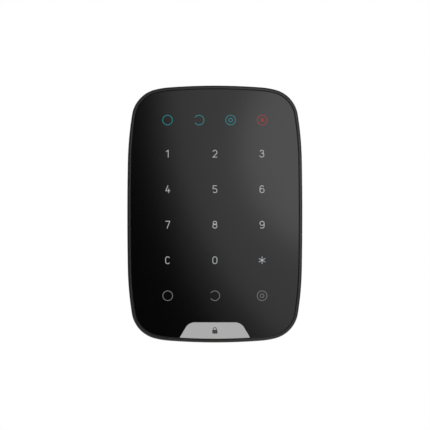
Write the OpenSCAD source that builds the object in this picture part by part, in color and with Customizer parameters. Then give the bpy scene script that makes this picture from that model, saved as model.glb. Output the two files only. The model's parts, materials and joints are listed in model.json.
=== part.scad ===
// Wireless alarm keypad with a flat touch panel, hung on a wall bracket.
// The wall is the plane Y = 0, the panel faces -Y and +Z is up.
// Every depth below is measured from the wall towards the room.

/* [Housing] */
// Width of the housing
body_w = 102.3; // [101.5:0.1:104]
// Height of the housing
body_h = 150; // [149:0.1:152]
// Depth of the whole keypad, from the wall to the panel's face
body_depth = 14; // [14:0.1:15]
// Radius of the outline's corners
corner_r = 18; // [16:0.5:20]
// Radius of the outline beside each corner, along the long side
shoulder_r = 195; // [180:1:210]
// Radius of the outline beside each corner, along the short side
crown_r = 45; // [40:1:50]
// Depth of the line where the front frame meets the rear cover
part_line = 7.6; // [7.4:0.1:7.8]

/* [Touch panel] */
// Width of the rim around the panel
rim_w = 1.8; // [1.6:0.1:2]
// Gap between the rim and the panel
panel_gap = 0.2; // [0.15:0.05:0.3]
// Thickness of the panel
panel_t = 1.5; // [1.2:0.1:1.5]
// Distance between key columns
key_pitch_x = 27.5; // [27:0.1:28]
// Distance between key rows
key_pitch_z = 20.7; // [20.4:0.1:21]
// Height of the top row of digits above the centre
key_top_z = 35.2; // [34.8:0.1:35.6]
// Height of the row of status signs above the centre
status_z = 54.8; // [54.4:0.1:55.4]
// Distance between status signs
status_pitch = 18.4; // [18:0.1:18.8]
// Height of a digit
glyph_h = 4.4; // [4:0.1:5]
// Width of a digit
glyph_w = 2.8; // [2.6:0.1:3]
// Width of the line that digits are drawn with
glyph_line = 0.36; // [0.32:0.02:0.5]
// Outer radius of a round sign
sign_r = 3; // [2.8:0.1:3.1]

/* [Batteries] */
// Diameter of a cell
cell_d = 10.3; // [10:0.1:10.3]
// Length of a cell with its button
cell_len = 44.5; // [44:0.1:44.5]
// Distance of each column of cells from the middle
cell_x = 13.8; // [13.6:0.1:14]

/* [Wall bracket] */
// Thickness of the bracket's plate
plate_t = 1.8; // [1.6:0.1:1.8]
// How far the keypad slides up to come off the hooks
lift = 6; // [5:0.5:6]
// Distance between wall screws, side to side
wall_pitch_x = 52; // [51:0.5:53]
// Distance between wall screws, top to bottom
wall_pitch_z = 118; // [116:0.5:118]
// Width of each wall screw's slot
wall_slot_w = 4.2; // [4:0.1:4.4]
// Length of each wall screw's slot, end to end
wall_slot_len = 9; // [8:0.5:9]

/* [Fasteners] */
// Radius of a housing screw's thread
screw_r = 1.25; // [1.2:0.01:1.26]
// Radius of a housing screw's head
screw_head_r = 2.2; // [2:0.1:2.3]

/* [Hidden] */
$fn = 64;

// Depths of the layers, from the wall forwards
far = 30;
legend_t = 0.06;
panel_face = body_depth - legend_t;
panel_back = panel_face - panel_t;
rim_face = panel_face - 0.2;
tape_t = 0.1;
ledge_face = panel_back - tape_t;
ledge_back = ledge_face - 1.1;
board_t = 1;
board_back = ledge_back - board_t;
skirt_back = 0.5;
floor_back = 2;
floor_face = 3.2;

// Widths measured inwards from the outline
panel_in = rim_w + panel_gap;
frame_wall = 2.2;
ledge_in = 5.2;
cover_wall = 2.6;
lip_in = 2.75;
lip_t = 0.9;
board_in = 4;
// Middles of the catches that hold the board, beside its edges
catch_x = body_w / 2 - 3.25;
catch_z = body_h / 2 - 3;

// Outline: a quarter is five arcs, from the middle of the side to the middle of the top.
// Each arc ends where the outline's normal reaches the next of these angles.
turns = [0, 1, 9, 75, 85.5, 90];
arc_steps = [2, 4, 12, 3, 4];
function rise_x(i) = cos(turns[i]) - cos(turns[i + 1]);
function rise_z(i) = sin(turns[i + 1]) - sin(turns[i]);
left_x = body_w / 2 - shoulder_r * rise_x(1) - corner_r * rise_x(2) - crown_r * rise_x(3);
left_z = body_h / 2 - shoulder_r * rise_z(1) - corner_r * rise_z(2) - crown_r * rise_z(3);
both = rise_x(0) * rise_z(4) - rise_x(4) * rise_z(0);
side_r = (left_x * rise_z(4) - rise_x(4) * left_z) / both;
top_r = (rise_x(0) * left_z - rise_z(0) * left_x) / both;
arc_r = [side_r, shoulder_r, corner_r, crown_r, top_r];
function dir(a) = [cos(a), sin(a)];
function arc_centre(i) = i == 0 ? [body_w / 2 - side_r, 0]
    : arc_centre(i - 1) + (arc_r[i - 1] - arc_r[i]) * dir(turns[i]);
function quarter(inset) = concat(
    [for (i = [0:4], k = [0:arc_steps[i] - 1])
        arc_centre(i) + (arc_r[i] - inset) * dir(turns[i] + (turns[i + 1] - turns[i]) * k / arc_steps[i])],
    [[0, body_h / 2 - inset]]
);
function ring(inset) = let (q = quarter(inset), n = len(q) - 1) concat(
    [for (i = [0:n - 1]) q[i]],
    [for (i = [n:-1:1]) [-q[i][0], q[i][1]]],
    [for (i = [0:n - 1]) -q[i]],
    [for (i = [n:-1:1]) [q[i][0], -q[i][1]]]
);

// Flat shape of the outline, moved inwards
module outline(inset) {
    polygon(ring(inset));
}

// Extrudes a flat shape, drawn in X and Z, between two depths
module slab(d0, d1) {
    translate([0, -d0, 0])
        rotate([90, 0, 0])
            linear_extrude(d1 - d0)
                children();
}

// Round peg with its axis front to back
module peg(x, z, r, d0, d1) {
    translate([x, -d0, z])
        rotate([90, 0, 0])
            cylinder(h = d1 - d0, r = r);
}

// Box between two heights, two widths and two depths
module block(x0, x1, z0, z1, d0, d1) {
    translate([x0, -d1, z0])
        cube([x1 - x0, d1 - d0, z1 - z0]);
}

// Box centred on a point of the plan
module chip(x, z, w, h, d0, d1) {
    block(x - w / 2, x + w / 2, z - h / 2, z + h / 2, d0, d1);
}

// Rectangle with round corners, drawn in X and Z
module round_plan(x0, x1, z0, z1, r) {
    centres = [[x1 - r, z1 - r], [x0 + r, z1 - r], [x0 + r, z0 + r], [x1 - r, z0 + r]];
    polygon([for (c = [0:3], k = [0:8]) centres[c] + r * dir(c * 90 + k * 11.25)]);
}

// Solid through a row of outlines, each given as an inset and a depth
module loft(levels) {
    rings = [for (l = levels) [for (p = ring(l[0])) [p[0], -l[1], p[1]]]];
    n = len(rings[0]);
    m = len(levels);
    polyhedron(
        points = [for (r = rings) each r],
        faces = concat(
            [[for (i = [0:n - 1]) i]],
            [for (j = [0:m - 2], i = [0:n - 1]) each [
                [i + (j + 1) * n, (i + 1) % n + (j + 1) * n, i + j * n],
                [(i + 1) % n + (j + 1) * n, (i + 1) % n + j * n, i + j * n]
            ]],
            [[for (i = [n - 1:-1:0]) i + (m - 1) * n]]
        )
    );
}

// Coil spring standing on the plane Z = 0
module coil(r0, r1, height, wire_r, winds) {
    sides = 8;
    steps = winds * 14;
    function centre_r(t) = r0 + (r1 - r0) * t;
    points = [for (k = [0:steps], s = [0:sides - 1])
        let (t = k / steps, a = 360 * winds * t, b = -360 * s / sides)
        let (r = centre_r(t) + wire_r * cos(b), z = wire_r + (height - 2 * wire_r) * t + wire_r * sin(b))
        [r * cos(a), r * sin(a), z]];
    polyhedron(
        points = points,
        faces = concat(
            [[for (s = [0:sides - 1]) s]],
            [for (k = [0:steps - 1], s = [0:sides - 1]) each [
                [s + (k + 1) * sides, (s + 1) % sides + (k + 1) * sides, s + k * sides],
                [(s + 1) % sides + (k + 1) * sides, (s + 1) % sides + k * sides, s + k * sides]
            ]],
            [[for (s = [sides - 1:-1:0]) s + steps * sides]]
        )
    );
}

// ---- Wall bracket ----

bracket_x = 43.5;
bracket_top = 68.2;
bracket_bottom = -62.5;
bracket_r = 14;
slide_gap = 0.5;
window_half = 6.9;
window_z0 = -52;
window_z1 = 58;
hook_x = 34;
hook_z = [38, -40];
hook_w = 8;
post_h = 2;
hook_reach = 7;
hook_d0 = floor_face + 0.15;
hook_d1 = hook_d0 + 1.4;
tab_x = 32;
tab_hole_z = 20;
tab_hole_r = 2.1;
foot_x = 7;
foot_z = -73.9;
lug_h = 3;
lug_face = 7.3;
lock_depth = 4.3;
lock_head_r = 2.2;
lock_head_h = 1.4;
washer_t = 0.5;
lock_r = 1.25;
lock_end = -66.4;
wall_z0 = bracket_top - 6.2 - wall_pitch_z;

// Long hole for a wall screw, through the plate
module wall_slot(x, z) {
    r = wall_slot_w / 2;
    run = wall_slot_len / 2 - r;
    peg(x - run, z, r, -1, plate_t + 1);
    peg(x + run, z, r, -1, plate_t + 1);
    block(x - run, x + run, z - r + 0.01, z + r - 0.01, -1, plate_t + 1);
}

// Upturned hook that the rear cover's floor drops behind
module hook(x, z) {
    block(x - hook_w / 2, x + hook_w / 2, z, z + post_h, plate_t - 0.2, hook_d1);
    block(x - hook_w / 2, x + hook_w / 2, z, z + hook_reach, hook_d0, hook_d1);
}

// Groove around the tab that stays on the wall if the keypad is torn off
module tab_groove() {
    bridge = 1.2;
    difference() {
        slab(-1, plate_t + 1) difference() {
            round_plan(tab_x - 8, tab_x + 8, -4, 27, 2);
            round_plan(tab_x - 7, tab_x + 7, -3, 26, 1.5);
        }
        block(tab_x - bridge / 2, tab_x + bridge / 2, -far, far, -2, plate_t + 2);
        block(tab_x - 10, tab_x + 10, 11, 11 + bridge, -2, plate_t + 2);
    }
}

module mounting_bracket() {
    color("#d9dadb")
    difference() {
        union() {
            slab(0, plate_t) round_plan(-bracket_x, bracket_x, bracket_bottom, bracket_top, bracket_r);
            block(-foot_x, foot_x, foot_z, bracket_bottom + 1, 0, plate_t);
            block(-foot_x, foot_x, foot_z, foot_z + lug_h, 0, lug_face);
            for (x = [-hook_x, hook_x], z = hook_z) hook(x, z);
        }
        for (s = [-1, 1])
            block(s * cell_x - window_half, s * cell_x + window_half, window_z0, window_z1, -1, plate_t + 1);
        slab(-1, plate_t + 1) round_plan(-40, -26, -16, 24, 2);
        slab(-1, plate_t + 1) round_plan(25, 39, -30.5, -9, 2);
        for (x = [-hook_x, hook_x], z = hook_z)
            block(x - hook_w / 2 - 0.2, x + hook_w / 2 + 0.2, z + post_h, z + hook_reach + 0.3, -1, plate_t + 1);
        tab_groove();
        peg(tab_x, tab_hole_z, tab_hole_r, -1, plate_t + 1);
        for (x = [-1, 1], z = [0, 1])
            wall_slot(x * wall_pitch_x / 2, wall_z0 + z * wall_pitch_z);
        translate([0, -lock_depth, foot_z - 1])
            cylinder(h = 1 + lock_head_h + washer_t, r = lock_head_r + 0.15);
        translate([0, -lock_depth, foot_z - 1])
            cylinder(h = lug_h + 2, r = lock_r + 0.15);
    }
}

// Washer under the head of the screw that locks the keypad to the bracket
module retaining_washer() {
    color("#b9bcc0")
    translate([0, -lock_depth, foot_z + lock_head_h])
        difference() {
            cylinder(h = washer_t, r = lock_head_r);
            translate([0, 0, -1]) cylinder(h = washer_t + 2, r = lock_r + 0.05);
        }
}

module retaining_screw() {
    color("#9da1a6")
    translate([0, -lock_depth, foot_z])
        difference() {
            union() {
                cylinder(h = lock_head_h, r = lock_head_r);
                cylinder(h = lock_end - foot_z, r = lock_r);
            }
            translate([0, 0, -1]) cylinder(h = 2, r = 1.1, $fn = 6);
        }
}

// ---- Housing ----

boss_x = 37.5;
boss_z = 57;
boss_r = 3;
boss_back = 5.1;
screw_head_d0 = 2.1;
screw_head_d1 = 3.5;
screw_end = 10.4;
snap_z = 30;
notch_x = foot_x + 1;
notch_z = -70.7;
insert_r = 1.9;
insert_z0 = -70.4;
insert_z1 = -67;
plunger_x = tab_x;
plunger_z = 3;
plunger_r = 1.6;
sleeve_r = 3.3;
button_x = -33;
button_z = -6;
button_r = 3;
buzzer_x = -33;
buzzer_z = 12;
head_room = 4.5;
bulge_half = 6.6;
bulge_z = 51.5;

// Calls its children at the four housing screws
module at_bosses() {
    for (x = [-boss_x, boss_x], z = [-boss_z, boss_z])
        translate([x, 0, z]) children();
}

// Catch that holds an edge of the touch board
module board_catch(x0, x1, z0, z1) {
    block(x0, x1, z0, z1, board_back - 0.9, board_back - 0.1);
}

module front_frame() {
    color("#17181a")
    difference() {
        union() {
            difference() {
                loft([
                    [0, part_line], [0, rim_face - 1.3], [0.15, rim_face - 0.65],
                    [0.45, rim_face - 0.2], [0.95, rim_face]
                ]);
                slab(ledge_face, far) outline(rim_w);
                slab(part_line - 1, ledge_back) outline(frame_wall);
                slab(ledge_back - 1, ledge_face + 1) outline(ledge_in);
            }
            slab(part_line, part_line + 1.2) difference() {
                outline(frame_wall - 0.2);
                outline(lip_in + lip_t);
            }
            difference() {
                slab(part_line - 1.1, part_line + 0.2) difference() {
                    outline(lip_in);
                    outline(lip_in + lip_t);
                }
                block(-notch_x - 1.3, notch_x + 1.3, -far * 3, 0, 0, part_line);
            }
            for (x = [-1, 1], z = [-1, 1])
                slab(ledge_back, ledge_face - 0.15) intersection() {
                    outline(frame_wall - 0.2);
                    translate([x * (boss_x + 11), z * (boss_z + 11)]) square(30, center = true);
                }
            at_bosses() peg(0, 0, boss_r, boss_back, ledge_face - 0.15);
            for (s = [-1, 1], z = [-snap_z, snap_z])
                board_catch(s * catch_x - 1.6, s * catch_x + 1.6, z - 3, z + 3);
            for (s = [-1, 1])
                board_catch(-3, 3, s * catch_z - 1.6, s * catch_z + 1.6);
        }
        at_bosses() peg(0, 0, screw_r + 0.02, 0, screw_end + 0.5);
    }
}

// Plan of the hollow in the back that the bracket lies in
module recess_plan(grow = 0) {
    round_plan(
        -bracket_x - slide_gap - grow, bracket_x + slide_gap + grow,
        bracket_bottom - lift - slide_gap - grow, bracket_top + 0.3 + grow, bracket_r + slide_gap
    );
}

// Room for the head of a wall screw, which stays put while the keypad slides up
module head_room_box(x, z, reach, grow = 0) {
    chip(
        x, z - lift / 2, 2 * (reach + grow), lift + 9 + 2 * grow,
        floor_back - 1 + (grow > 0 ? 1 : 0), head_room + grow * 0.8
    );
}

module head_rooms(grow = 0) {
    for (x = [-1, 1], z = [0, 1])
        head_room_box(x * wall_pitch_x / 2, wall_z0 + z * wall_pitch_z, 6.5, grow);
    head_room_box(tab_x, tab_hole_z, 4.5, grow);
}

module rear_cover() {
    color("#1d1e20")
    difference() {
        union() {
            difference() {
                loft([[3, skirt_back], [1.2, 2.5], [0.3, 5], [0, part_line]]);
                slab(-1, floor_back) recess_plan();
                slab(floor_face, far) outline(cover_wall);
            }
            for (s = [-1, 1])
                slab(skirt_back, floor_face)
                    round_plan(s * cell_x - bulge_half, s * cell_x + bulge_half, -bulge_z, bulge_z, 2.5);
            head_rooms(1);
            at_bosses() peg(0, 0, 3.6, floor_back, boss_back - 0.1);
            peg(plunger_x, plunger_z, sleeve_r, floor_back, 7);
            block(-notch_x - 1.1, notch_x + 1.1, -72.9, notch_z + 1.1, floor_back, part_line);
            block(-3.2, 3.2, notch_z, -64.5, floor_back, 7.2);
        }
        for (s = [-1, 1])
            slab(1.5, floor_face + 1)
                round_plan(s * cell_x - bulge_half + 1, s * cell_x + bulge_half - 1, -bulge_z + 1, bulge_z - 1, 1.5);
        head_rooms();
        at_bosses() {
            peg(0, 0, screw_head_r + 0.2, 0, screw_head_d1);
            peg(0, 0, screw_r + 0.1, 0, far);
        }
        for (x = [-hook_x, hook_x], z = hook_z)
            block(x - hook_w / 2 - 0.3, x + hook_w / 2 + 0.3, z - lift - 0.5, z + post_h + 0.1, 0, floor_face + 1);
        peg(plunger_x, plunger_z, plunger_r + 0.08, 0, floor_face + 0.3);
        peg(plunger_x, plunger_z, sleeve_r - 0.55, floor_face + 0.3, far);
        peg(button_x, button_z, button_r + 0.1, 0, far);
        for (p = [[0, 0], [2.6, 0], [-2.6, 0], [0, 2.6], [0, -2.6]])
            peg(buzzer_x + p[0], buzzer_z + p[1], 0.8, 0, far);
        block(-notch_x, notch_x, -far * 3, notch_z, 0, far);
        block(-notch_x, notch_x, -far * 3, -68, 0, floor_back);
        translate([0, -lock_depth, notch_z - 1]) cylinder(h = insert_z1 - notch_z + 1, r = insert_r);
        translate([0, -lock_depth, notch_z - 1]) cylinder(h = 5.7, r = lock_r + 0.15);
    }
}

// Four screws that go from the rear cover into the front frame
module housing_screws() {
    color("#8d9196")
    at_bosses() difference() {
        union() {
            peg(0, 0, screw_head_r, screw_head_d0, screw_head_d1);
            peg(0, 0, screw_r, screw_head_d0, screw_end);
        }
        translate([0, -screw_head_d0 + 1, 0])
            rotate([90, 0, 0])
                cylinder(h = 1.9, r = 1, $fn = 6);
    }
}

module threaded_insert() {
    color("#c9a24b")
    translate([0, -lock_depth, insert_z0])
        difference() {
            cylinder(h = insert_z1 - insert_z0, r = insert_r);
            translate([0, 0, -1]) cylinder(h = insert_z1 - insert_z0 + 2, r = lock_r + 0.05);
        }
}

module rating_label() {
    color("#d8d9d6")
    slab(floor_back - 0.1, floor_back) round_plan(26.5, 37.5, -29, -11, 1);
}

// ---- Panel and its signs ----

badge_top = -63.05;
badge_half = 15.35;
badge_r = 6.3;
badge_in = 2.3;
badge_foot = 20.6;
badge_sink = 0.3;

// Plan of the name plate: slanted sides, round upper corners and a foot along the outline
module badge_plan(inset) {
    lean = 30;
    corner_x = badge_half - badge_r * tan(lean);
    foot_r = top_r - badge_in - inset;
    foot_angle = asin((badge_foot - inset / cos(lean)) / foot_r);
    right = concat(
        [for (k = [0:4]) foot_r * [sin(foot_angle * k / 4), -cos(foot_angle * k / 4)] - [0, body_h / 2 - top_r]],
        [for (k = [0:6]) [corner_x, badge_top - badge_r] + (badge_r - inset) * dir(lean + (90 - lean) * k / 6)]
    );
    n = len(right);
    polygon(concat(right, [for (i = [n - 1:-1:1]) [-right[i][0], right[i][1]]]));
}

module touch_panel() {
    color("#0c0d0f")
    difference() {
        loft([[panel_in, panel_back], [panel_in, panel_face - 0.35], [panel_in + 0.35, panel_face]]);
        slab(panel_face - badge_sink, far) badge_plan(0);
    }
}

// Foam adhesive ring under the panel's edge
module panel_tape() {
    color("#2b2b2b")
    slab(ledge_face, panel_back) difference() {
        outline(panel_in + 0.3);
        outline(ledge_in - 0.6);
    }
}

module badge_plate() {
    color("#adadad")
    slab(panel_face - badge_sink, panel_face + 0.04) badge_plan(0.08);
}

// Points of an arc
function arc(x, z, r, a0, a1, n) = [for (k = [0:n]) [x, z] + r * dir(a0 + (a1 - a0) * k / n)];
function unit(v) = v / norm(v);
function across(v) = [-v[1], v[0]];
// Point i of a line, moved sideways so that the line keeps its width round a corner
function edge_point(p, i, d) = let (
    a = i > 0 ? unit(p[i] - p[i - 1]) : unit(p[1] - p[0]),
    b = i < len(p) - 1 ? unit(p[i + 1] - p[i]) : a,
    m = unit(across(a) + across(b))
) p[i] + m * d / (m * across(a));

// Line of even width through a row of points
module stroke(p) {
    n = len(p) - 1;
    polygon(concat(
        [for (i = [0:n]) edge_point(p, i, glyph_line / 2)],
        [for (i = [n:-1:0]) edge_point(p, i, -glyph_line / 2)]
    ));
}

// Ring drawn with the same line
module loop(x, z, r) {
    difference() {
        polygon(arc(x, z, r + glyph_line / 2, 0, 348, 29));
        polygon(arc(x, z, r - glyph_line / 2, 0, 348, 29));
    }
}

half_w = (glyph_w - glyph_line) / 2;
half_h = (glyph_h - glyph_line) / 2;
low_z = half_w - half_h;
small_loop = 0.84;
top_z = half_h - half_w * small_loop;

module digit_zero() {
    difference() {
        polygon(concat(
            arc(0, -low_z, half_w + glyph_line / 2, 0, 180, 12),
            arc(0, low_z, half_w + glyph_line / 2, 180, 360, 12)
        ));
        polygon(concat(
            arc(0, -low_z, half_w - glyph_line / 2, 0, 180, 12),
            arc(0, low_z, half_w - glyph_line / 2, 180, 360, 12)
        ));
    }
}

module digit_one() {
    stroke([[-0.95, half_h - 0.9], [0.3, half_h], [0.3, -glyph_h / 2]]);
}

module digit_two() {
    stroke(concat(
        arc(0, -low_z, half_w, 165, -38, 10),
        [[-half_w + 0.1, -half_h], [half_w + 0.1, -half_h]]
    ));
}

module digit_three() {
    stroke(arc(-0.15, top_z, half_w * small_loop, 165, -90, 10));
    stroke(arc(-0.15, low_z, half_w, 90, -165, 11));
}

module digit_four() {
    stroke([[0.2, glyph_h / 2], [-half_w + 0.1, -0.9], [half_w + 0.3, -0.9]]);
    stroke([[0.55, 0.35], [0.55, -glyph_h / 2]]);
}

module digit_five() {
    stroke(concat(
        [[half_w - 0.1, half_h], [-half_w + 0.25, half_h], [-half_w + 0.15, 0.2]],
        arc(0, low_z, half_w, 112, -150, 11)
    ));
}

module digit_six() {
    stroke(concat(arc(0, -low_z, half_w, 35, 180, 8), arc(0, low_z, half_w, 180, 300, 7)));
    stroke(arc(0, low_z, half_w, 300, 530, 14));
}

module digit_seven() {
    stroke([[-half_w - 0.1, half_h], [half_w, half_h], [-0.4, -glyph_h / 2]]);
}

module digit_eight() {
    loop(0, low_z, half_w);
    loop(0, top_z, half_w * small_loop);
}

module digit_nine() {
    rotate(180) digit_six();
}

module letter_c() {
    stroke(concat(arc(0, -low_z, half_w, 30, 180, 8), arc(0, low_z, half_w, 180, 330, 8)));
}

star_len = 4.3;
star_line = glyph_line * 0.9;
module star() {
    for (a = [90, 30, -30])
        rotate(a) square([star_len, star_line], center = true);
}

module glyph(n) {
    if (n == 0) digit_zero();
    if (n == 1) digit_one();
    if (n == 2) digit_two();
    if (n == 3) digit_three();
    if (n == 4) digit_four();
    if (n == 5) digit_five();
    if (n == 6) digit_six();
    if (n == 7) digit_seven();
    if (n == 8) digit_eight();
    if (n == 9) digit_nine();
    if (n == 10) letter_c();
    if (n == 11) star();
}

// Signs in their order on the panel, row by row
keys = [[1, 2, 3], [4, 5, 6], [7, 8, 9], [10, 0, 11]];
mode_z = key_top_z - 4 * key_pitch_z;

module closed_ring() {
    difference() {
        circle(sign_r);
        circle(sign_r - glyph_line);
    }
}

module open_ring() {
    stroke(arc(0, 0, sign_r - glyph_line / 2, -147, 147, 28));
}

module double_ring() {
    closed_ring();
    loop(0, 0, sign_r * 0.36);
}

module key_legends() {
    color("#a2a4a6")
    slab(panel_face, body_depth)
        for (row = [0:3], col = [0:2])
            translate([(col - 1) * key_pitch_x, key_top_z - row * key_pitch_z]) glyph(keys[row][col]);
}

module mode_legends() {
    color("#6c6d6f")
    slab(panel_face, body_depth) {
        translate([-key_pitch_x, mode_z]) closed_ring();
        translate([0, mode_z]) open_ring();
        translate([key_pitch_x, mode_z]) double_ring();
    }
}

module status_legends() {
    color("#55807c")
    slab(panel_face, body_depth) {
        translate([-1.5 * status_pitch, status_z]) closed_ring();
        translate([-0.5 * status_pitch, status_z]) open_ring();
        translate([0.5 * status_pitch, status_z]) double_ring();
    }
}

module fault_legend() {
    color("#7a3d3d")
    slab(panel_face, body_depth) translate([1.5 * status_pitch, status_z]) {
        closed_ring();
        for (a = [45, -45]) rotate(a) square([2.8, 0.55], center = true);
    }
}

// ---- Light and touch layers ----

function key_spots() = [for (row = [0:4], col = [-1:1]) [col * key_pitch_x, key_top_z - row * key_pitch_z]];
function status_spots() = [for (i = [-1.5:1:0.5]) [i * status_pitch, status_z]];
fault_spot = [1.5 * status_pitch, status_z];
mask_x = 36;
mask_z0 = -56;
mask_z1 = 62.5;
board_gap_z = 48.3;
board_gap_x = 4.8;

module diffuser_film() {
    color("#c9ccd0")
    slab(ledge_face - 0.08, ledge_face + 0.08) difference() {
        translate([-mask_x + 0.5, mask_z0 + 0.5])
            square([2 * mask_x - 1, mask_z1 - mask_z0 - 1]);
        for (x = [-boss_x, boss_x], z = [-boss_z, boss_z])
            translate([x, z]) circle(7);
    }
}

// Black grid that keeps each sign's light to itself
module light_mask() {
    color("#101113")
    difference() {
        block(-mask_x, mask_x, mask_z0, mask_z1, ledge_back + 0.07, ledge_face - 0.1);
        for (p = concat(key_spots(), status_spots(), [fault_spot])) peg(p[0], p[1], 3.2, 0, far);
        for (s = [-1, 1]) chip(s * cell_x, 0, 8, 2 * board_gap_z, 0, far);
        at_bosses() peg(0, 0, 7, 0, far);
    }
}

module touch_board() {
    color("#1d5a3a")
    difference() {
        slab(board_back, ledge_back) outline(board_in);
        at_bosses() peg(0, 0, boss_r + 0.4, 0, far);
        for (s = [-1, 1]) chip(s * cell_x, 0, 2 * board_gap_x, 2 * board_gap_z, 0, far);
    }
}

// Copper ring under each key that senses a finger
module key_electrodes() {
    color("#b87333")
    for (p = key_spots()) difference() {
        peg(p[0], p[1], 7.2, ledge_back, ledge_back + 0.05);
        peg(p[0], p[1], 2.6, 0, far);
    }
}

module led(p) {
    chip(p[0], p[1], 1.6, 0.8, ledge_back, ledge_back + 0.5);
}

module key_leds() {
    color("#f2f0dc") for (p = key_spots()) led(p);
}

module status_leds() {
    color("#bfe6df") for (p = status_spots()) led(p);
}

module fault_led() {
    color("#e3a4a0") led(fault_spot);
}

// ---- Back of the board ----

module touch_controller() {
    color("#1a1b1d") chip(0, 22, 7, 7, board_back - 0.9, board_back);
}

module microcontroller() {
    color("#1a1b1d") chip(33, -22, 9, 9, board_back - 1.1, board_back);
}

// Resistors and capacitors, in short rows
module chip_components() {
    color("#a58f6d") {
        for (i = [0:5]) chip(26 + i * 2.6, -13, 1, 1.6, board_back - 0.6, board_back);
        for (i = [0:4]) chip(26 + i * 3.2, -31, 1.6, 0.9, board_back - 0.6, board_back);
        for (i = [0:3]) chip(-3 + i * 2, 29, 0.9, 1.6, board_back - 0.6, board_back);
        for (i = [0:3]) chip(-28, -24 - i * 3, 2, 1.25, board_back - 0.8, board_back);
        for (i = [0:2]) chip(-36, -24 - i * 4, 3.2, 1.6, board_back - 1.2, board_back);
    }
}

radio_x = -30;
radio_z = 42;

module radio_board() {
    color("#184c86") chip(radio_x, radio_z, 15, 20, board_back - 0.8, board_back);
}

module radio_shield() {
    color("#c3c6ca")
    difference() {
        chip(radio_x, radio_z + 1, 12, 15, board_back - 2.6, board_back - 0.8);
        chip(radio_x, radio_z + 1, 11.6, 14.6, board_back - 2.4, board_back);
    }
}

module main_antenna() {
    color("#c9b06a") {
        block(-45.2, -44.8, -22, 24, board_back - 4, board_back - 1);
        block(-45.2, -44.8, 18, 20, board_back - 1.2, board_back);
        block(-45.2, -44.8, 8, 10, board_back - 1.2, board_back);
    }
}

module second_antenna() {
    color("#c9b06a") {
        block(-12, 26, 68.2, 68.6, board_back - 3.6, board_back - 1);
        block(-12, -10, 68.2, 68.6, board_back - 1.2, board_back);
        block(-4, -2, 68.2, 68.6, board_back - 1.2, board_back);
    }
}

module buzzer_case() {
    color("#141516")
    difference() {
        peg(buzzer_x, buzzer_z, 6, 6, board_back);
        peg(buzzer_x, buzzer_z, 5.4, 6.6, board_back - 0.6);
        peg(buzzer_x, buzzer_z, 1, 5, 7);
    }
}

module buzzer_disc() {
    color("#c8a951") peg(buzzer_x, buzzer_z, 5.4, 8.2, 8.5);
}

module tamper_switch() {
    color("#222426") {
        chip(plunger_x, plunger_z, 6.4, 6.4, 8.2, board_back);
        peg(plunger_x, plunger_z, 1.2, 7.9, 8.3);
    }
}

module power_switch() {
    color("#3a3d40") {
        chip(button_x, button_z, 6, 6, 8.6, board_back);
        peg(button_x, button_z, 1.5, 8.1, 8.7);
    }
}

// ---- Batteries ----

cell_depth = 6.9;
holder_z = 47.6;
contact_t = 0.3;
holder_wall = 1.4;
rail_face = 9.6;

module battery_holder() {
    color("#26272a")
    difference() {
        union() {
            for (s = [-1, 1]) {
                for (e = [-5.9, 5.9])
                    block(s * cell_x + e - 0.5, s * cell_x + e + 0.5, -holder_z, holder_z, floor_face + 0.05, rail_face);
                for (z = [-1, 1])
                    chip(s * cell_x, z * (holder_z + holder_wall / 2), 12.8, holder_wall, floor_face + 0.05, rail_face);
                for (z = [-1, 1])
                    chip(s * cell_x, z * (holder_z + holder_wall / 2), 10.6, holder_wall, 1.7, floor_face + 0.5);
            }
            for (z = [-holder_z - holder_wall / 2, 0, holder_z + holder_wall / 2])
                chip(0, z, 2 * cell_x - 12, holder_wall, floor_face + 0.05, 5);
        }
        for (z = [-20, 20])
            chip(0, z, 4 * cell_x, 9, 7.5, far);
    }
}

// Metal strip folded over an end wall: an inner leg, a fold and an outer leg
module folded_contact(x, end) {
    inner = end * (holder_z - contact_t / 2);
    outer = end * (holder_z + holder_wall + contact_t / 2);
    chip(x, inner, 7, contact_t, 4, rail_face + contact_t);
    chip(x, outer, 5, contact_t, 5, rail_face + contact_t);
    chip(x, (inner + outer) / 2, 5, holder_wall + 2 * contact_t, rail_face, rail_face + contact_t);
}

module contact_plates() {
    color("#c9cbd0") {
        for (s = [-1, 1]) folded_contact(s * cell_x, -1);
    }
}

module bridge_contact() {
    color("#c9cbd0") {
        for (s = [-1, 1]) folded_contact(s * cell_x, 1);
        chip(0, holder_z + holder_wall + contact_t / 2, 2 * cell_x + 5, contact_t, 5, 8);
    }
}

cell_run = holder_z - contact_t;
spring_len = 2 * cell_run - 2 * cell_len;

// One spring presses on the flat end of each pair of cells
module contact_springs() {
    color("#c9cbd0")
    for (s = [-1, 1])
        translate([s * cell_x, -cell_depth, s * cell_run])
            rotate([s > 0 ? 180 : 0, 0, 0])
                coil(3.4, 2.4, spring_len, 0.3, 4);
}

// Cell n of four: 1 and 2 stand in the left column, 3 and 4 in the right one, the other way up
module cell(n) {
    side = n < 3 ? -1 : 1;
    start = -side * (cell_run - cell_len * ((n - 1) % 2));
    nub = 0.8;
    color("#4c5157")
    translate([side * cell_x, -cell_depth, start])
        rotate([side < 0 ? 180 : 0, 0, 0]) {
            translate([0, 0, nub]) cylinder(h = cell_len - nub, r = cell_d / 2);
            cylinder(h = nub + 0.1, r = 1.9);
        }
}

// ---- Moving parts ----

plunger_tip = plate_t + 0.1;
flange_back = 3.9;
plunger_end = 7.2;

module tamper_plunger() {
    color("#e4e4e2") {
        peg(plunger_x, plunger_z, plunger_r, plunger_tip, plunger_end);
        peg(plunger_x, plunger_z, 2.6, flange_back, flange_back + 0.6);
    }
}

module tamper_spring() {
    color("#c9cbd0")
    translate([plunger_x, -flange_back - 0.6, plunger_z])
        rotate([90, 0, 0])
            coil(2.15, 2.15, 8.2 - flange_back - 0.6, 0.2, 5);
}

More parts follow.
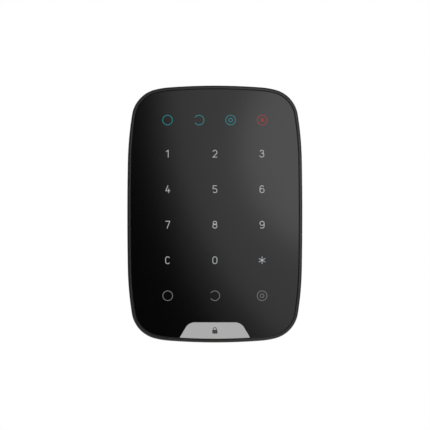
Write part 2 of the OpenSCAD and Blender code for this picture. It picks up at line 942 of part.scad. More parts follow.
module power_button() {
    color("#2b2d30") {
        peg(button_x, button_z, button_r, floor_back + 0.1, 4);
        peg(button_x, button_z, 3.8, floor_face + 0.3, 4.3);
        peg(button_x, button_z, 1.2, 4, 7.75);
    }
}

mounting_bracket();
retaining_washer();
retaining_screw();
rear_cover();
front_frame();
housing_screws();
threaded_insert();
rating_label();
touch_panel();
panel_tape();
badge_plate();
key_legends();
mode_legends();
status_legends();
fault_legend();
diffuser_film();
light_mask();
touch_board();
key_electrodes();
key_leds();
status_leds();
fault_led();
touch_controller();
microcontroller();
chip_components();
radio_board();
radio_shield();
main_antenna();
second_antenna();
buzzer_case();
buzzer_disc();
tamper_switch();
power_switch();
battery_holder();
contact_springs();
contact_plates();
bridge_contact();
cell(1);  // cell_1
cell(2);  // cell_2
cell(3);  // cell_3
cell(4);  // cell_4
tamper_plunger();
tamper_spring();
power_button();
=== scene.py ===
import json
import math

import bmesh
import bpy
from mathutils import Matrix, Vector

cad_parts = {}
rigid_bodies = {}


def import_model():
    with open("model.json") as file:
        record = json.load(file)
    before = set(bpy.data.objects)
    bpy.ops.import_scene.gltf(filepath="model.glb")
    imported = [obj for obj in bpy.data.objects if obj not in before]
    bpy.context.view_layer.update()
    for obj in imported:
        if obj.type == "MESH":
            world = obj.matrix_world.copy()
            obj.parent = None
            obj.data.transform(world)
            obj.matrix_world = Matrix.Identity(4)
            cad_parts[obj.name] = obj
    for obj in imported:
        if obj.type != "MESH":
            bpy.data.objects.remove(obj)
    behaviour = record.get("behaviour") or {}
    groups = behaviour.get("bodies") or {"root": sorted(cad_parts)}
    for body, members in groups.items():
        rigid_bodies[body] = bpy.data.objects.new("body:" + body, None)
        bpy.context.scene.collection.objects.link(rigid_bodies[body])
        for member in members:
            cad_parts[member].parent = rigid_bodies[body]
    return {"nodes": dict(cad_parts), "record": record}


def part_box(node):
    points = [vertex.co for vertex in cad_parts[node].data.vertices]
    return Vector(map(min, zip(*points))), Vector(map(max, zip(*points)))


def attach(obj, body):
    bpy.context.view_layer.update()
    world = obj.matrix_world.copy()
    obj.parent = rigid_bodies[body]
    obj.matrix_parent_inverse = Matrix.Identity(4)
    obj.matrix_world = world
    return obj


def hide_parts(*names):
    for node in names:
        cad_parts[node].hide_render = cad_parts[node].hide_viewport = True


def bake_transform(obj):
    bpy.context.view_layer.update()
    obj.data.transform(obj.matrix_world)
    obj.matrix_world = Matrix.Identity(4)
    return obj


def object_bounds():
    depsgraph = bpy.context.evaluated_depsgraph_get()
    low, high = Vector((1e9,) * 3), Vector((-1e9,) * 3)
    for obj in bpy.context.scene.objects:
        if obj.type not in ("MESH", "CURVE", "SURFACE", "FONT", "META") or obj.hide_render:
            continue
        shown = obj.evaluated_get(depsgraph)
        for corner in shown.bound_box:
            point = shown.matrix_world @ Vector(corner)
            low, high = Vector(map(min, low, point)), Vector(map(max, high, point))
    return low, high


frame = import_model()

cadLow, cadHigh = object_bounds()
nodes = frame["nodes"]
scene = bpy.context.scene
scene.view_settings.view_transform = "Standard"
mm = 0.001
sides = (-1, 1)     # left and right, or down and up
beyond = -90        # a height well below the keypad, for cuts that leave through its foot
print("frame loaded with", len(nodes), "nodes")


# all places are in millimetres: x to the right, z up, depth from the wall towards the room
def span(node):
    low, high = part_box(node)
    return {"x0": low.x / mm, "x1": high.x / mm, "z0": low.z / mm, "z1": high.z / mm,
            "back": -high.y / mm, "front": -low.y / mm}


rim = span("front_frame")
cover = span("rear_cover")
panel = span("touch_panel")
bracket = span("mounting_bracket")
board = span("touch_board")
partLine = cover["front"]

outline = {
    "turns": (0, 1, 9, 75, 85.5, 90),   # degrees of the normal where each arc of a quarter ends
    "steps": (8, 10, 26, 8, 12),
    "shoulder": 195,
    "corner": 18,
    "crown": 45,
}


def unitAt(angle):
    return Vector((math.cos(math.radians(angle)), math.sin(math.radians(angle))))


def arcPoints(x, z, radius, start, end, steps):
    units = [unitAt(start + (end - start) * k / steps) for k in range(steps + 1)]
    return [(x + radius * u.x, z + radius * u.y) for u in units]


def outlineArcs():
    # the longest two radii follow from the half width and half height
    turns = outline["turns"]
    middle = (outline["shoulder"], outline["corner"], outline["crown"])
    ends = [unitAt(a) for a in turns]
    riseX = [ends[i].x - ends[i + 1].x for i in range(5)]
    riseZ = [ends[i + 1].y - ends[i].y for i in range(5)]
    leftX = rim["x1"] - sum(r * riseX[i + 1] for i, r in enumerate(middle))
    leftZ = rim["z1"] - sum(r * riseZ[i + 1] for i, r in enumerate(middle))
    both = riseX[0] * riseZ[4] - riseX[4] * riseZ[0]
    sideRadius = (leftX * riseZ[4] - riseX[4] * leftZ) / both
    topRadius = (riseX[0] * leftZ - riseZ[0] * leftX) / both
    radii = [sideRadius, *middle, topRadius]
    centres = [Vector((rim["x1"] - sideRadius, 0))]
    for i in range(1, 5):
        centres.append(centres[-1] + (radii[i - 1] - radii[i]) * ends[i])
    return radii, centres


outlineRadii, outlineCentres = outlineArcs()


def outlineLoop(inset=0.0):
    turns, quarter = outline["turns"], []
    for i, steps in enumerate(outline["steps"]):
        for k in range(steps):
            angle = turns[i] + (turns[i + 1] - turns[i]) * k / steps
            quarter.append(outlineCentres[i] + (outlineRadii[i] - inset) * unitAt(angle))
    quarter.append(Vector((0, rim["z1"] - inset)))
    first = [(p.x, p.y) for p in quarter]
    loop = first[:-1] + [(-x, z) for x, z in first[:0:-1]]
    return loop + [(-x, -z) for x, z in first[:-1]] + [(x, -z) for x, z in first[:0:-1]]


def roundRect(x0, x1, z0, z1, radius=1.0, steps=6):
    corners = ((x1 - radius, z1 - radius), (x0 + radius, z1 - radius),
               (x0 + radius, z0 + radius), (x1 - radius, z0 + radius))
    arcs = [arcPoints(x, z, radius, 90 * c, 90 * c + 90, steps) for c, (x, z) in enumerate(corners)]
    return [spot for arc in arcs for spot in arc]


def circleLoop(x, z, radius, steps=48):
    return arcPoints(x, z, radius, 0, 360, steps)[:-1]


def place(x, z, depth):
    # from millimetres on the keypad to the frame's own metres
    return Vector((x * mm, -depth * mm, z * mm))


def loft(levels, closed=False):
    # levels are (loop, depth); closed joins the last level to the first, otherwise both ends are capped
    bm = bmesh.new()
    rings = [[bm.verts.new(place(x, z, depth)) for x, z in loop] for loop, depth in levels]
    pairs = list(zip(rings, rings[1:])) + ([(rings[-1], rings[0])] if closed else [])
    for a, b in pairs:
        n = len(a)
        for i in range(n):
            bm.faces.new((a[i], a[(i + 1) % n], b[(i + 1) % n], b[i]))
    if not closed:
        bm.faces.new(list(reversed(rings[0])))
        bm.faces.new(rings[-1])
    bmesh.ops.recalc_face_normals(bm, faces=bm.faces)
    return bm


def prism(loop, d0, d1):
    return loft([(loop, d0), (loop, d1)])


def rod(x, z, radius, d0, d1, steps=48):
    return prism(circleLoop(x, z, radius, steps), d0, d1)


def box(x0, x1, z0, z1, d0, d1):
    return prism([(x1, z0), (x1, z1), (x0, z1), (x0, z0)], d0, d1)


def lathe(profile, at, upright=False, steps=48):
    # profile is (radius, height) along the axis; a radius may also be a function of the angle.
    # at is (x, z, depth) in mm; the axis runs towards the room, or up
    bm = bmesh.new()
    x, z, depth = at
    rings = []
    for radius, height in profile:
        ring = []
        for k in range(1 if radius == 0 else steps):
            angle = 360 * k / steps
            d = unitAt(angle) * (radius(angle) if callable(radius) else radius)
            spot = (x + d.x, z + height, depth + d.y) if upright else (x + d.x, z + d.y, depth + height)
            ring.append(bm.verts.new(place(*spot)))
        rings.append(ring)
    for a, b in zip(rings, rings[1:]):
        for k in range(steps):
            corners = [a[k % len(a)], a[(k + 1) % len(a)], b[(k + 1) % len(b)], b[k % len(b)]]
            corners = list(dict.fromkeys(corners))
            if len(corners) > 2:
                bm.faces.new(corners)
    bmesh.ops.recalc_face_normals(bm, faces=bm.faces)
    return bm


def threadRings(h0, h1, radius, ridge, pitch):
    # rings whose radius rises and falls along a helix, fading out at both ends
    count = round(abs(h1 - h0) / pitch * 8)
    rings = []
    for k in range(count + 1):
        h = h0 + (h1 - h0) * k / count
        fade = min(1, 3 * k / count * abs(h1 - h0), 3 * (1 - k / count) * abs(h1 - h0))

        def radiusAt(angle, h=h, fade=fade):
            wave = abs((h / pitch - angle / 360) % 1 - 0.5) * 2
            return radius - ridge * (1 - fade * max(0, min(1, 1.6 * wave - 0.3)))

        rings.append((radiusAt, h))
    return rings


def tube(points, wire, around=12):
    # a round wire along a row of points, in mm (x, z, depth)
    bm = bmesh.new()
    path = [place(*p) for p in points]
    side = Vector((0, 0, 1))
    rings = []
    for i, p in enumerate(path):
        along = (path[min(i + 1, len(path) - 1)] - path[max(i - 1, 0)]).normalized()
        side = (side - along * side.dot(along)).normalized()
        other = along.cross(side)
        ring = []
        for k in range(around):
            d = unitAt(360 * k / around) * wire * mm
            ring.append(bm.verts.new(p + side * d.x + other * d.y))
        rings.append(ring)
    for a, b in zip(rings, rings[1:]):
        for k in range(around):
            bm.faces.new((a[k], a[(k + 1) % around], b[(k + 1) % around], b[k]))
    bm.faces.new(list(reversed(rings[0])))
    bm.faces.new(rings[-1])
    bmesh.ops.recalc_face_normals(bm, faces=bm.faces)
    return bm


def coilPoints(r0, r1, length, wire, turns, perTurn=28):
    # (angle, radius, height) of a spring whose first and last turns lie flat
    flat, points = 0.9, []
    count = round(turns * perTurn)
    for k in range(count + 1):
        turn = turns * k / count
        t = min(1, max(0, (turn - flat) / (turns - 2 * flat)))
        rise = 2 * wire * (min(turn, flat) + max(0, turn - turns + flat)) / flat * 0.5
        height = wire + rise + (length - 2 * wire - 2 * wire) * t
        points.append((360 * turn, r0 + (r1 - r0) * turn / turns, height))
    return points


def meshFrom(bm, name):
    mesh = bpy.data.meshes.new(name)
    bm.to_mesh(mesh)
    bm.free()
    return mesh


def looseObject(bm, name="tool"):
    obj = bpy.data.objects.new(name, meshFrom(bm, name))
    scene.collection.objects.link(obj)
    return obj


def applied(obj):
    # turns an object's modifiers into plain mesh
    graph = bpy.context.evaluated_depsgraph_get()
    mesh = bpy.data.meshes.new_from_object(obj.evaluated_get(graph))
    old = obj.data
    obj.modifiers.clear()
    obj.data = mesh
    bpy.data.meshes.remove(old)
    return obj


def combine(obj, tools, operation):
    # cuts every tool from obj, or joins it on
    if not tools:
        return obj
    group = bpy.data.collections.new("tools")
    scene.collection.children.link(group)
    for bm in tools:
        tool = bpy.data.objects.new("tool", meshFrom(bm, "tool"))
        group.objects.link(tool)
    mod = obj.modifiers.new("combine", "BOOLEAN")
    mod.operation = operation
    mod.operand_type = "COLLECTION"
    mod.collection = group
    mod.solver = "EXACT"
    applied(obj)
    for tool in list(group.objects):
        mesh = tool.data
        bpy.data.objects.remove(tool)
        bpy.data.meshes.remove(mesh)
    bpy.data.collections.remove(group)
    return obj


def softenEdges(obj, width, angle=50, segments=2):
    # a moulded part's edges carry a small radius, which catches the light
    mod = obj.modifiers.new("radius", "BEVEL")
    mod.width = width * mm
    mod.segments = segments
    mod.limit_method = "ANGLE"
    mod.angle_limit = math.radians(angle)
    mod.use_clamp_overlap = True
    mod.miter_outer = "MITER_ARC"
    return applied(obj)


def shade(obj, angle=32):
    # smooth faces, with an edge kept crisp where it turns sharply
    bm = bmesh.new()
    bm.from_mesh(obj.data)
    bmesh.ops.remove_doubles(bm, verts=bm.verts, dist=1e-7)
    bmesh.ops.dissolve_degenerate(bm, edges=bm.edges, dist=1e-7)
    for face in bm.faces:
        face.smooth = True
    for edge in bm.edges:
        edge.smooth = len(edge.link_faces) == 2 and edge.calc_face_angle(0) < math.radians(angle)
    bm.to_mesh(obj.data)
    bm.free()
    # flat faces keep their own normal right up to a rounded edge
    mod = obj.modifiers.new("flats", "WEIGHTED_NORMAL")
    mod.mode = "FACE_AREA"
    mod.weight = 100
    mod.keep_sharp = True
    return obj


def finishPiece(obj, name, body, slot, replaced, second=None):
    # names a piece, gives it its slot's material, and lets it ride with its body
    obj.name = obj.data.name = name
    obj.data.materials.append(materials[slot])
    if second:
        obj.data.materials.append(second)
    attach(obj, body)
    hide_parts(replaced)
    return obj


def merged(parts):
    # several meshes in one, each part's faces taking its own material index
    bm = bmesh.new()
    for part, index in parts:
        mesh = meshFrom(part, "part")
        start = len(bm.faces)
        bm.from_mesh(mesh)
        bm.faces.ensure_lookup_table()
        for face in bm.faces[start:]:
            face.material_index = index
        bpy.data.meshes.remove(mesh)
    return bm


def solidSpans(node):
    # the separate solids of a CAD node, each as its own span
    mesh = nodes[node].data
    keys = {}
    index = [keys.setdefault(tuple(round(c, 7) for c in v.co), len(keys)) for v in mesh.vertices]
    parent = list(range(len(keys)))

    def root(i):
        while parent[i] != i:
            parent[i] = parent[parent[i]]
            i = parent[i]
        return i

    for edge in mesh.edges:
        a, b = root(index[edge.vertices[0]]), root(index[edge.vertices[1]])
        parent[a] = b
    found = {}
    for co, i in keys.items():
        found.setdefault(root(i), []).append(co)
    spans = []
    for points in found.values():
        xs, ys, zs = zip(*points)
        spans.append({"x0": min(xs) / mm, "x1": max(xs) / mm, "z0": min(zs) / mm, "z1": max(zs) / mm,
                      "back": -max(ys) / mm, "front": -min(ys) / mm})
    return sorted(spans, key=lambda s: (round(s["z0"], 1), round(s["x0"], 1)))


def linear(hexColour):
    values = [int(hexColour[i:i + 2], 16) / 255 for i in (1, 3, 5)]
    return tuple(v / 12.92 if v <= 0.04045 else ((v + 0.055) / 1.055) ** 2.4 for v in values) + (1,)


def addNode(tree, kind, settings=None, links=None):
    node = tree.nodes.new("ShaderNode" + kind)
    for key, value in (settings or {}).items():
        if isinstance(key, int) or key in node.inputs:
            node.inputs[key].default_value = value
        else:
            setattr(node, key, value)
    for key, source in (links or {}).items():
        tree.links.new(source, node.inputs[key])
    return node


def newMaterial(name):
    material = bpy.data.materials.new(name)
    material.use_nodes = True
    tree = material.node_tree
    tree.nodes.clear()
    return material, tree


driftMm = 12        # size of the slow colour drift in every moulded or plated piece


def surface(name, look):
    # one shader with three layers of detail: a slow drift of colour, a fine grain in the gloss,
    # and the same grain as relief
    material, tree = newMaterial(name)
    position = addNode(tree, "TexCoord").outputs["Object"]
    drift = addNode(tree, "TexNoise", {"Scale": 1 / (driftMm * mm), "Detail": 3.0}, {"Vector": position})
    if look.get("brushedMm"):
        # drawn or rolled metal: the grain is stretched along one axis
        stretched = addNode(tree, "Mapping", {"Scale": look["brushedAlong"]}, {"Vector": position})
        along = stretched.outputs["Vector"]
    else:
        along = position
    grainScale = 1 / (look.get("brushedMm", look.get("grainMm", 0.3)) * mm)
    grain = addNode(tree, "TexNoise", {"Scale": grainScale, "Detail": 4.0, "Roughness": 0.6},
                    {"Vector": along})
    spread = look.get("drift", 0.12)
    base = linear(look["colour"])
    light = tuple(min(1, c * (1 + spread)) for c in base[:3]) + (1,)
    dark = tuple(c * (1 - spread) for c in base[:3]) + (1,)
    colour = addNode(tree, "Mix", {"data_type": "RGBA", 6: dark, 7: light}, {0: drift.outputs["Fac"]})
    rough, roughSpread = look["rough"], look.get("roughSpread", 0.05)
    gloss = addNode(tree, "MapRange", {"From Min": 0.3, "From Max": 0.7,
                                       "To Min": rough - roughSpread, "To Max": rough + roughSpread},
                    {"Value": grain.outputs["Fac"]})
    relief = addNode(tree, "Bump", {"Strength": look.get("relief", 0.25),
                                    "Distance": look.get("reliefMm", 0.02) * mm},
                     {"Height": grain.outputs["Fac"]})
    settings = {"Metallic": look.get("metal", 0.0)}
    if not look.get("metal"):
        settings["IOR"] = look.get("ior", 1.5)
    if look.get("glow"):
        settings.update({"Emission Color": linear(look["glowColour"]), "Emission Strength": look["glow"]})
    if look.get("through"):
        settings["Transmission Weight"] = look["through"]
    shader = addNode(tree, "BsdfPrincipled", settings,
                     {"Base Color": colour.outputs[2], "Roughness": gloss.outputs[0],
                      "Normal": relief.outputs[0]})
    addNode(tree, "OutputMaterial", None, {"Surface": shader.outputs[0]})
    return material


looks = {
    # spark-eroded ABS: a dull black skin whose fine pitting breaks up every highlight
    "bracket_abs": {"name": "moulded ABS, spark-eroded", "colour": "#232426", "rough": 0.58, "grainMm": 0.35,
                    "relief": 0.35, "reliefMm": 0.03},
    "housing_abs": {"name": "moulded ABS, fine texture", "colour": "#18191b", "rough": 0.5, "grainMm": 0.3,
                    "relief": 0.3, "reliefMm": 0.02},
    # the rim is the same plastic from a polished tool, so it keeps a soft line of light
    "frame_abs": {"name": "moulded ABS, satin", "colour": "#1a1b1d", "rough": 0.27, "grainMm": 0.25,
                  "roughSpread": 0.02, "relief": 0.06, "reliefMm": 0.005},
    # cast acrylic, printed black behind and etched in front: a deep black with a wide, soft sheen
    "panel_acrylic": {"name": "etched acrylic, back-printed", "colour": "#020203", "rough": 0.11,
                      "grainMm": 0.2, "roughSpread": 0.005, "relief": 0.01, "reliefMm": 0.001, "ior": 1.49,
                      "drift": 0.03},
    # lacquered name plate: an even light grey with a faint metallic flake
    "badge": {"name": "silver-grey lacquer", "colour": "#b9b9b9", "rough": 0.4, "grainMm": 0.12,
              "relief": 0.04, "reliefMm": 0.005, "drift": 0.02},
    # windows in the print, lit from behind through a milky film
    "sign_white": {"name": "lit window, cool white", "colour": "#3c3e40", "rough": 0.4, "glow": 0.48,
                   "glowColour": "#f2f5fa", "relief": 0.0},
    "sign_dim": {"name": "lit window, dimmed", "colour": "#2c2d2e", "rough": 0.4, "glow": 0.155,
                 "glowColour": "#eef0f4", "relief": 0.0},
    "sign_teal": {"name": "lit window, teal", "colour": "#0a2426", "rough": 0.4, "glow": 0.32,
                  "glowColour": "#18cdd6", "relief": 0.0},
    "sign_red": {"name": "lit window, red", "colour": "#2a0a0a", "rough": 0.4, "glow": 0.36,
                 "glowColour": "#f03c3c", "relief": 0.0},
    # rubbery and open-celled, so it drinks the light
    "foam_tape": {"name": "acrylic foam tape", "colour": "#1c1c1d", "rough": 0.85, "grainMm": 0.25,
                  "relief": 0.6, "reliefMm": 0.05},
    # a milky film that glows evenly where light reaches it
    "diffuser_pet": {"name": "milky polyester film", "colour": "#e3e6e8", "rough": 0.55, "grainMm": 0.2,
                     "through": 0.3},
    "mask_foam": {"name": "moulded black polycarbonate", "colour": "#121314", "rough": 0.7,
                  "grainMm": 0.3},
    # etched from foil: flat, bright and a little pink
    "copper": {"name": "etched copper", "colour": "#d98e62", "rough": 0.3, "metal": 1.0,
               "grainMm": 0.15},
    # cast resin over the chip, faintly lit
    "led_white": {"name": "phosphor resin", "colour": "#efe6a8", "rough": 0.3, "glow": 0.4,
                  "glowColour": "#fff6d8"},
    "led_teal": {"name": "teal resin", "colour": "#7fd9c6", "rough": 0.3, "glow": 0.4,
                 "glowColour": "#8af0e0"},
    "led_red": {"name": "red resin", "colour": "#d96a60", "rough": 0.3, "glow": 0.4,
                "glowColour": "#ff6a5a"},
    # moulded epoxy looks sandy beside the sharp-edged ceramic parts
    "chip_epoxy": {"name": "moulded epoxy", "colour": "#1b1b1d", "rough": 0.6, "grainMm": 0.15,
                   "relief": 0.3},
    "ceramic_parts": {"name": "fired ceramic", "colour": "#a8875c", "rough": 0.5, "grainMm": 0.2,
                      "drift": 0.2},
    # rolled sheet: fine lines along the rolling direction stretch every highlight
    "shield_tin": {"name": "tin-plated steel", "colour": "#c9cbcd", "rough": 0.28, "metal": 1.0,
                   "brushedMm": 0.15, "brushedAlong": (0.08, 1, 1)},
    "gold_strip": {"name": "gold-flashed strip", "colour": "#e3c06a", "rough": 0.25, "metal": 1.0,
                   "brushedMm": 0.12, "brushedAlong": (1, 1, 0.08)},
    "brass": {"name": "turned brass", "colour": "#d9b45c", "rough": 0.25, "metal": 1.0,
              "brushedMm": 0.1, "brushedAlong": (0.1, 0.1, 1)},
    # glass-filled housings from a plain tool: evenly dull
    "buzzer_pbt": {"name": "moulded PBT", "colour": "#141415", "rough": 0.5, "grainMm": 0.3},
    "switch_pbt": {"name": "moulded PBT, grey", "colour": "#2b2c2f", "rough": 0.5, "grainMm": 0.25},
    "holder_abs": {"name": "moulded ABS, glossy tool", "colour": "#1f2022", "rough": 0.4,
                   "grainMm": 0.4},
    # drawn wire keeps a tight, warm shine; the plated steels are greyer and softer
    "nickel_spring": {"name": "nickel-plated wire", "colour": "#cfcac0", "rough": 0.22, "metal": 1.0,
                      "grainMm": 0.1},
    "zinc_steel": {"name": "zinc-plated steel", "colour": "#c4c8cd", "rough": 0.32, "metal": 1.0,
                   "grainMm": 0.12},
    "black_steel": {"name": "black zinc plate", "colour": "#3a3b3e", "rough": 0.35, "metal": 1.0,
                    "grainMm": 0.12},
    # natural acetal is waxy white; the button's ABS is a shade lighter than the shell
    "pin_pom": {"name": "natural acetal", "colour": "#e6e5e0", "rough": 0.4, "grainMm": 0.3},
    "key_abs": {"name": "moulded ABS, dark grey", "colour": "#2f3033", "rough": 0.5, "grainMm": 0.3},
}
materials = {slot: surface(look.pop("name"), look) for slot, look in looks.items()}


boardLook = {"trackMm": 14, "viaMm": 5}     # far coarser than the real ones, so that they show


def boardMaterial(name, maskColour, trackColour):
    # solder mask over copper: tracks stand out a shade lighter, with pinholes of plated vias between them
    material, tree = newMaterial(name)
    position = addNode(tree, "TexCoord").outputs["Object"]
    turned = addNode(tree, "Mapping", {"Rotation": (math.radians(90), 0, 0)}, {"Vector": position})
    flat = turned.outputs["Vector"]
    trackScale, viaScale = 1 / (boardLook["trackMm"] * mm), 1 / (boardLook["viaMm"] * mm)
    tracks = addNode(tree, "TexBrick", {"Scale": trackScale, "Mortar Size": 0.014, "Mortar Smooth": 0.2,
                                        "Brick Width": 0.5, "Row Height": 0.16, "offset": 0.37},
                     {"Vector": flat})
    vias = addNode(tree, "TexVoronoi", {"Scale": viaScale, "Randomness": 0.8}, {"Vector": flat})
    isVia = addNode(tree, "Math", {"operation": "LESS_THAN", 1: 0.06}, {0: vias.outputs["Distance"]})
    under = addNode(tree, "Mix", {"data_type": "RGBA", 6: linear(maskColour), 7: linear(trackColour)},
                    {0: tracks.outputs["Fac"]})
    colour = addNode(tree, "Mix", {"data_type": "RGBA", 7: linear("#d8c08a")},
                     {0: isVia.outputs[0], 6: under.outputs[2]})
    relief = addNode(tree, "Bump", {"Strength": 0.5, "Distance": 0.03 * mm},
                     {"Height": tracks.outputs["Fac"]})
    shader = addNode(tree, "BsdfPrincipled", {"Roughness": 0.28, "IOR": 1.5, "Coat Weight": 0.4,
                                              "Coat Roughness": 0.15},
                     {"Base Color": colour.outputs[2], "Metallic": isVia.outputs[0],
                      "Normal": relief.outputs[0]})
    addNode(tree, "OutputMaterial", None, {"Surface": shader.outputs[0]})
    return material


materials["board_fr4"] = boardMaterial("glass-epoxy board, green mask", "#0d4a2c", "#176b3f")
materials["radio_fr4"] = boardMaterial("glass-epoxy board, blue mask", "#0c2f66", "#17489a")


def wrapMaterial():
    # printed shrink sleeve: a dark body mottled in two shades, glossy over steel
    material, tree = newMaterial("shrink sleeve, printed")
    position = addNode(tree, "TexCoord").outputs["Object"]
    scuffs = addNode(tree, "TexNoise", {"Scale": 1 / (3 * mm), "Detail": 5.0}, {"Vector": position})
    colour = addNode(tree, "Mix", {"data_type": "RGBA", 6: linear("#2b3038"), 7: linear("#3a414b")},
                     {0: scuffs.outputs["Fac"]})
    rough = addNode(tree, "MapRange", {"To Min": 0.18, "To Max": 0.34}, {"Value": scuffs.outputs["Fac"]})
    shader = addNode(tree, "BsdfPrincipled", {"Metallic": 0.35, "Coat Weight": 0.5, "Coat Roughness": 0.1},
                     {"Base Color": colour.outputs[2], "Roughness": rough.outputs[0]})
    addNode(tree, "OutputMaterial", None, {"Surface": shader.outputs[0]})
    return material


materials["cell_wrap"] = wrapMaterial()


def labelMaterial():
    # thermal print on white film: rows of plain dashes over a strip of bars, with no lettering in it
    material, tree = newMaterial("polyester label film, printed")
    area = span("rating_label")
    middleX, middleZ = (area["x0"] + area["x1"]) / 2 * mm, (area["z0"] + area["z1"]) / 2 * mm
    margin = 1.2
    halfX, halfZ = ((area[b] - area[a]) / 2 * mm - margin * mm for a, b in (("x0", "x1"), ("z0", "z1")))
    position = addNode(tree, "TexCoord").outputs["Object"]
    parts = addNode(tree, "SeparateXYZ", None, {"Vector": position})
    turned = addNode(tree, "Mapping", {"Rotation": (math.radians(90), 0, 0)}, {"Vector": position})
    flat = turned.outputs["Vector"]
    rows = addNode(tree, "TexBrick", {"Scale": 0.25 / (1.3 * mm), "Mortar Size": 0.065, "Mortar Smooth": 0.0,
                                      "Brick Width": 0.6, "Row Height": 0.25, "offset": 0.37,
                                      "Color1": (0, 0, 0, 1), "Color2": (0, 0, 0, 1), "Mortar": (1, 1, 1, 1)},
                   {"Vector": flat})
    stretched = addNode(tree, "Mapping", {"Scale": (1 / (0.45 * mm), 0, 0)}, {"Vector": position})
    noise = addNode(tree, "TexNoise", {"Scale": 1.0, "Detail": 1.0}, {"Vector": stretched.outputs["Vector"]})
    bars = addNode(tree, "Math", {"operation": "GREATER_THAN", 1: 0.5}, {0: noise.outputs["Fac"]})
    isUpper = addNode(tree, "Math", {"operation": "GREATER_THAN", 1: middleZ - 0.35 * halfZ},
                      {0: parts.outputs["Z"]})
    printed = addNode(tree, "Mix", {"data_type": "RGBA"},
                      {0: isUpper.outputs[0], 6: bars.outputs[0], 7: rows.outputs["Color"]})
    insideX = addNode(tree, "Math", {"operation": "COMPARE", 1: middleX, 2: halfX}, {0: parts.outputs["X"]})
    insideZ = addNode(tree, "Math", {"operation": "COMPARE", 1: middleZ, 2: halfZ}, {0: parts.outputs["Z"]})
    inside = addNode(tree, "Math", {"operation": "MULTIPLY"}, {0: insideX.outputs[0], 1: insideZ.outputs[0]})
    blank = addNode(tree, "Mix", {"data_type": "RGBA", 6: (1, 1, 1, 1)},
                    {0: inside.outputs[0], 7: printed.outputs[2]})
    grain = addNode(tree, "TexNoise", {"Scale": 1 / (0.15 * mm), "Detail": 3.0}, {"Vector": position})
    colour = addNode(tree, "Mix", {"data_type": "RGBA", 6: linear("#37383a"), 7: linear("#c4c5c3")},
                     {0: blank.outputs[2]})
    relief = addNode(tree, "Bump", {"Strength": 0.1, "Distance": 0.01 * mm}, {"Height": grain.outputs["Fac"]})
    shader = addNode(tree, "BsdfPrincipled", {"Roughness": 0.5, "IOR": 1.5},
                     {"Base Color": colour.outputs[2], "Normal": relief.outputs[0]})
    addNode(tree, "OutputMaterial", None, {"Surface": shader.outputs[0]})
    return material


materials["label_paper"] = labelMaterial()
inkLook = {"colour": "#3a3b3d", "rough": 0.5, "grainMm": 0.1, "relief": 0.05}  # a thin, matt, even layer
inkMaterial = surface("screen ink, dark grey", inkLook)
print("materials made:", len(materials) + 1)

for row in frame["record"]["subparts"]:
    for slot in nodes[row["node"]].material_slots:
        slot.material = materials[row["material_slot"]]


frameCut = {
    "rimWidth": 1.8,                # widths are measured inwards from the outline
    "wall": 2.2,
    "ledge": 5.2,
    "ledgeThick": 1.1,
    "lipOuter": 2.75,
    "lipInner": 3.65,
    "lipReach": 1.1,
    "step": 1.2,
    "roundRise": 1.3,               # the rim's rounded corner
    "roundIn": 0.95,
    "notchHalf": 9.3,
    "boss": (37.5, 57, 3, 5.1),     # across, up, radius, depth of its end
    "pilot": (1.27, 10.9),          # radius, depth of its end
    "web": ((33.5, 53), (44.6, 53), (44.2, 57), (43.2, 60.5), (40.6, 64.4), (37.6, 67), (33.5, 69.2)),
    "catchIn": (3.25, 3),           # middles of the board's catches, in from the side and from the top
    "catchHalf": (1.4, 3),          # half thickness, half length
    "catchUp": 30,
    "catchDepth": (0.9, 0.1),       # behind the board
}


def buildFrontFrame():
    f = frameCut
    tape = span("panel_tape")
    ledgeFront, ledgeBack = tape["back"], tape["back"] - f["ledgeThick"]
    top = rim["front"]
    profile = [(0.35, partLine), (0.12, partLine + 0.05), (0.02, partLine + 0.2), (0, partLine + 0.5)]
    turnSteps = 12
    for k in range(turnSteps + 1):
        a = math.radians(90 * k / turnSteps)
        profile.append((f["roundIn"] * (1 - math.cos(a)), top - f["roundRise"] * (1 - math.sin(a))))
    inner, step, lip = f["rimWidth"], partLine + f["step"], partLine - f["lipReach"]
    profile += [(inner - 0.18, top), (inner - 0.05, top - 0.05), (inner, top - 0.2), (inner, ledgeFront),
                (f["ledge"], ledgeFront), (f["ledge"], ledgeBack), (f["wall"], ledgeBack), (f["wall"], step),
                (f["lipInner"], step), (f["lipInner"], lip), (f["lipOuter"], lip), (f["lipOuter"], partLine)]
    obj = looseObject(loft([(outlineLoop(i), d) for i, d in profile], closed=True))
    bx, bz, br, bossBack = f["boss"]
    catchX, catchZ = rim["x1"] - f["catchIn"][0], rim["z1"] - f["catchIn"][1]
    thin, long = f["catchHalf"]
    catch = [board["back"] - d for d in f["catchDepth"]]
    adds = []
    for sx in sides:
        for sz in sides:
            adds.append(rod(sx * bx, sz * bz, br, bossBack, ledgeFront - 0.15))
            web = [(sx * x, sz * z) for x, z in f["web"]]
            adds.append(prism(web if sx * sz > 0 else web[::-1], ledgeBack + 0.01, ledgeFront - 0.15))
        for z in (f["catchUp"], -f["catchUp"]):
            adds.append(box(sx * catchX - thin, sx * catchX + thin, z - long, z + long, *catch))
        adds.append(box(-long, long, sx * catchZ - thin, sx * catchZ + thin, *catch))
    combine(obj, adds, "UNION")
    pilot, pilotEnd = f["pilot"]
    cuts = [rod(sx * bx, sz * bz, pilot, 0, pilotEnd) for sx in sides for sz in sides]
    cuts.append(box(-f["notchHalf"], f["notchHalf"], beyond, 0, 0, partLine - 0.01))
    combine(obj, cuts, "DIFFERENCE")
    shade(obj)
    finishPiece(obj, "front_frame_shell", "keypad", "frame_abs", "front_frame")
    print("front frame made")


buildFrontFrame()


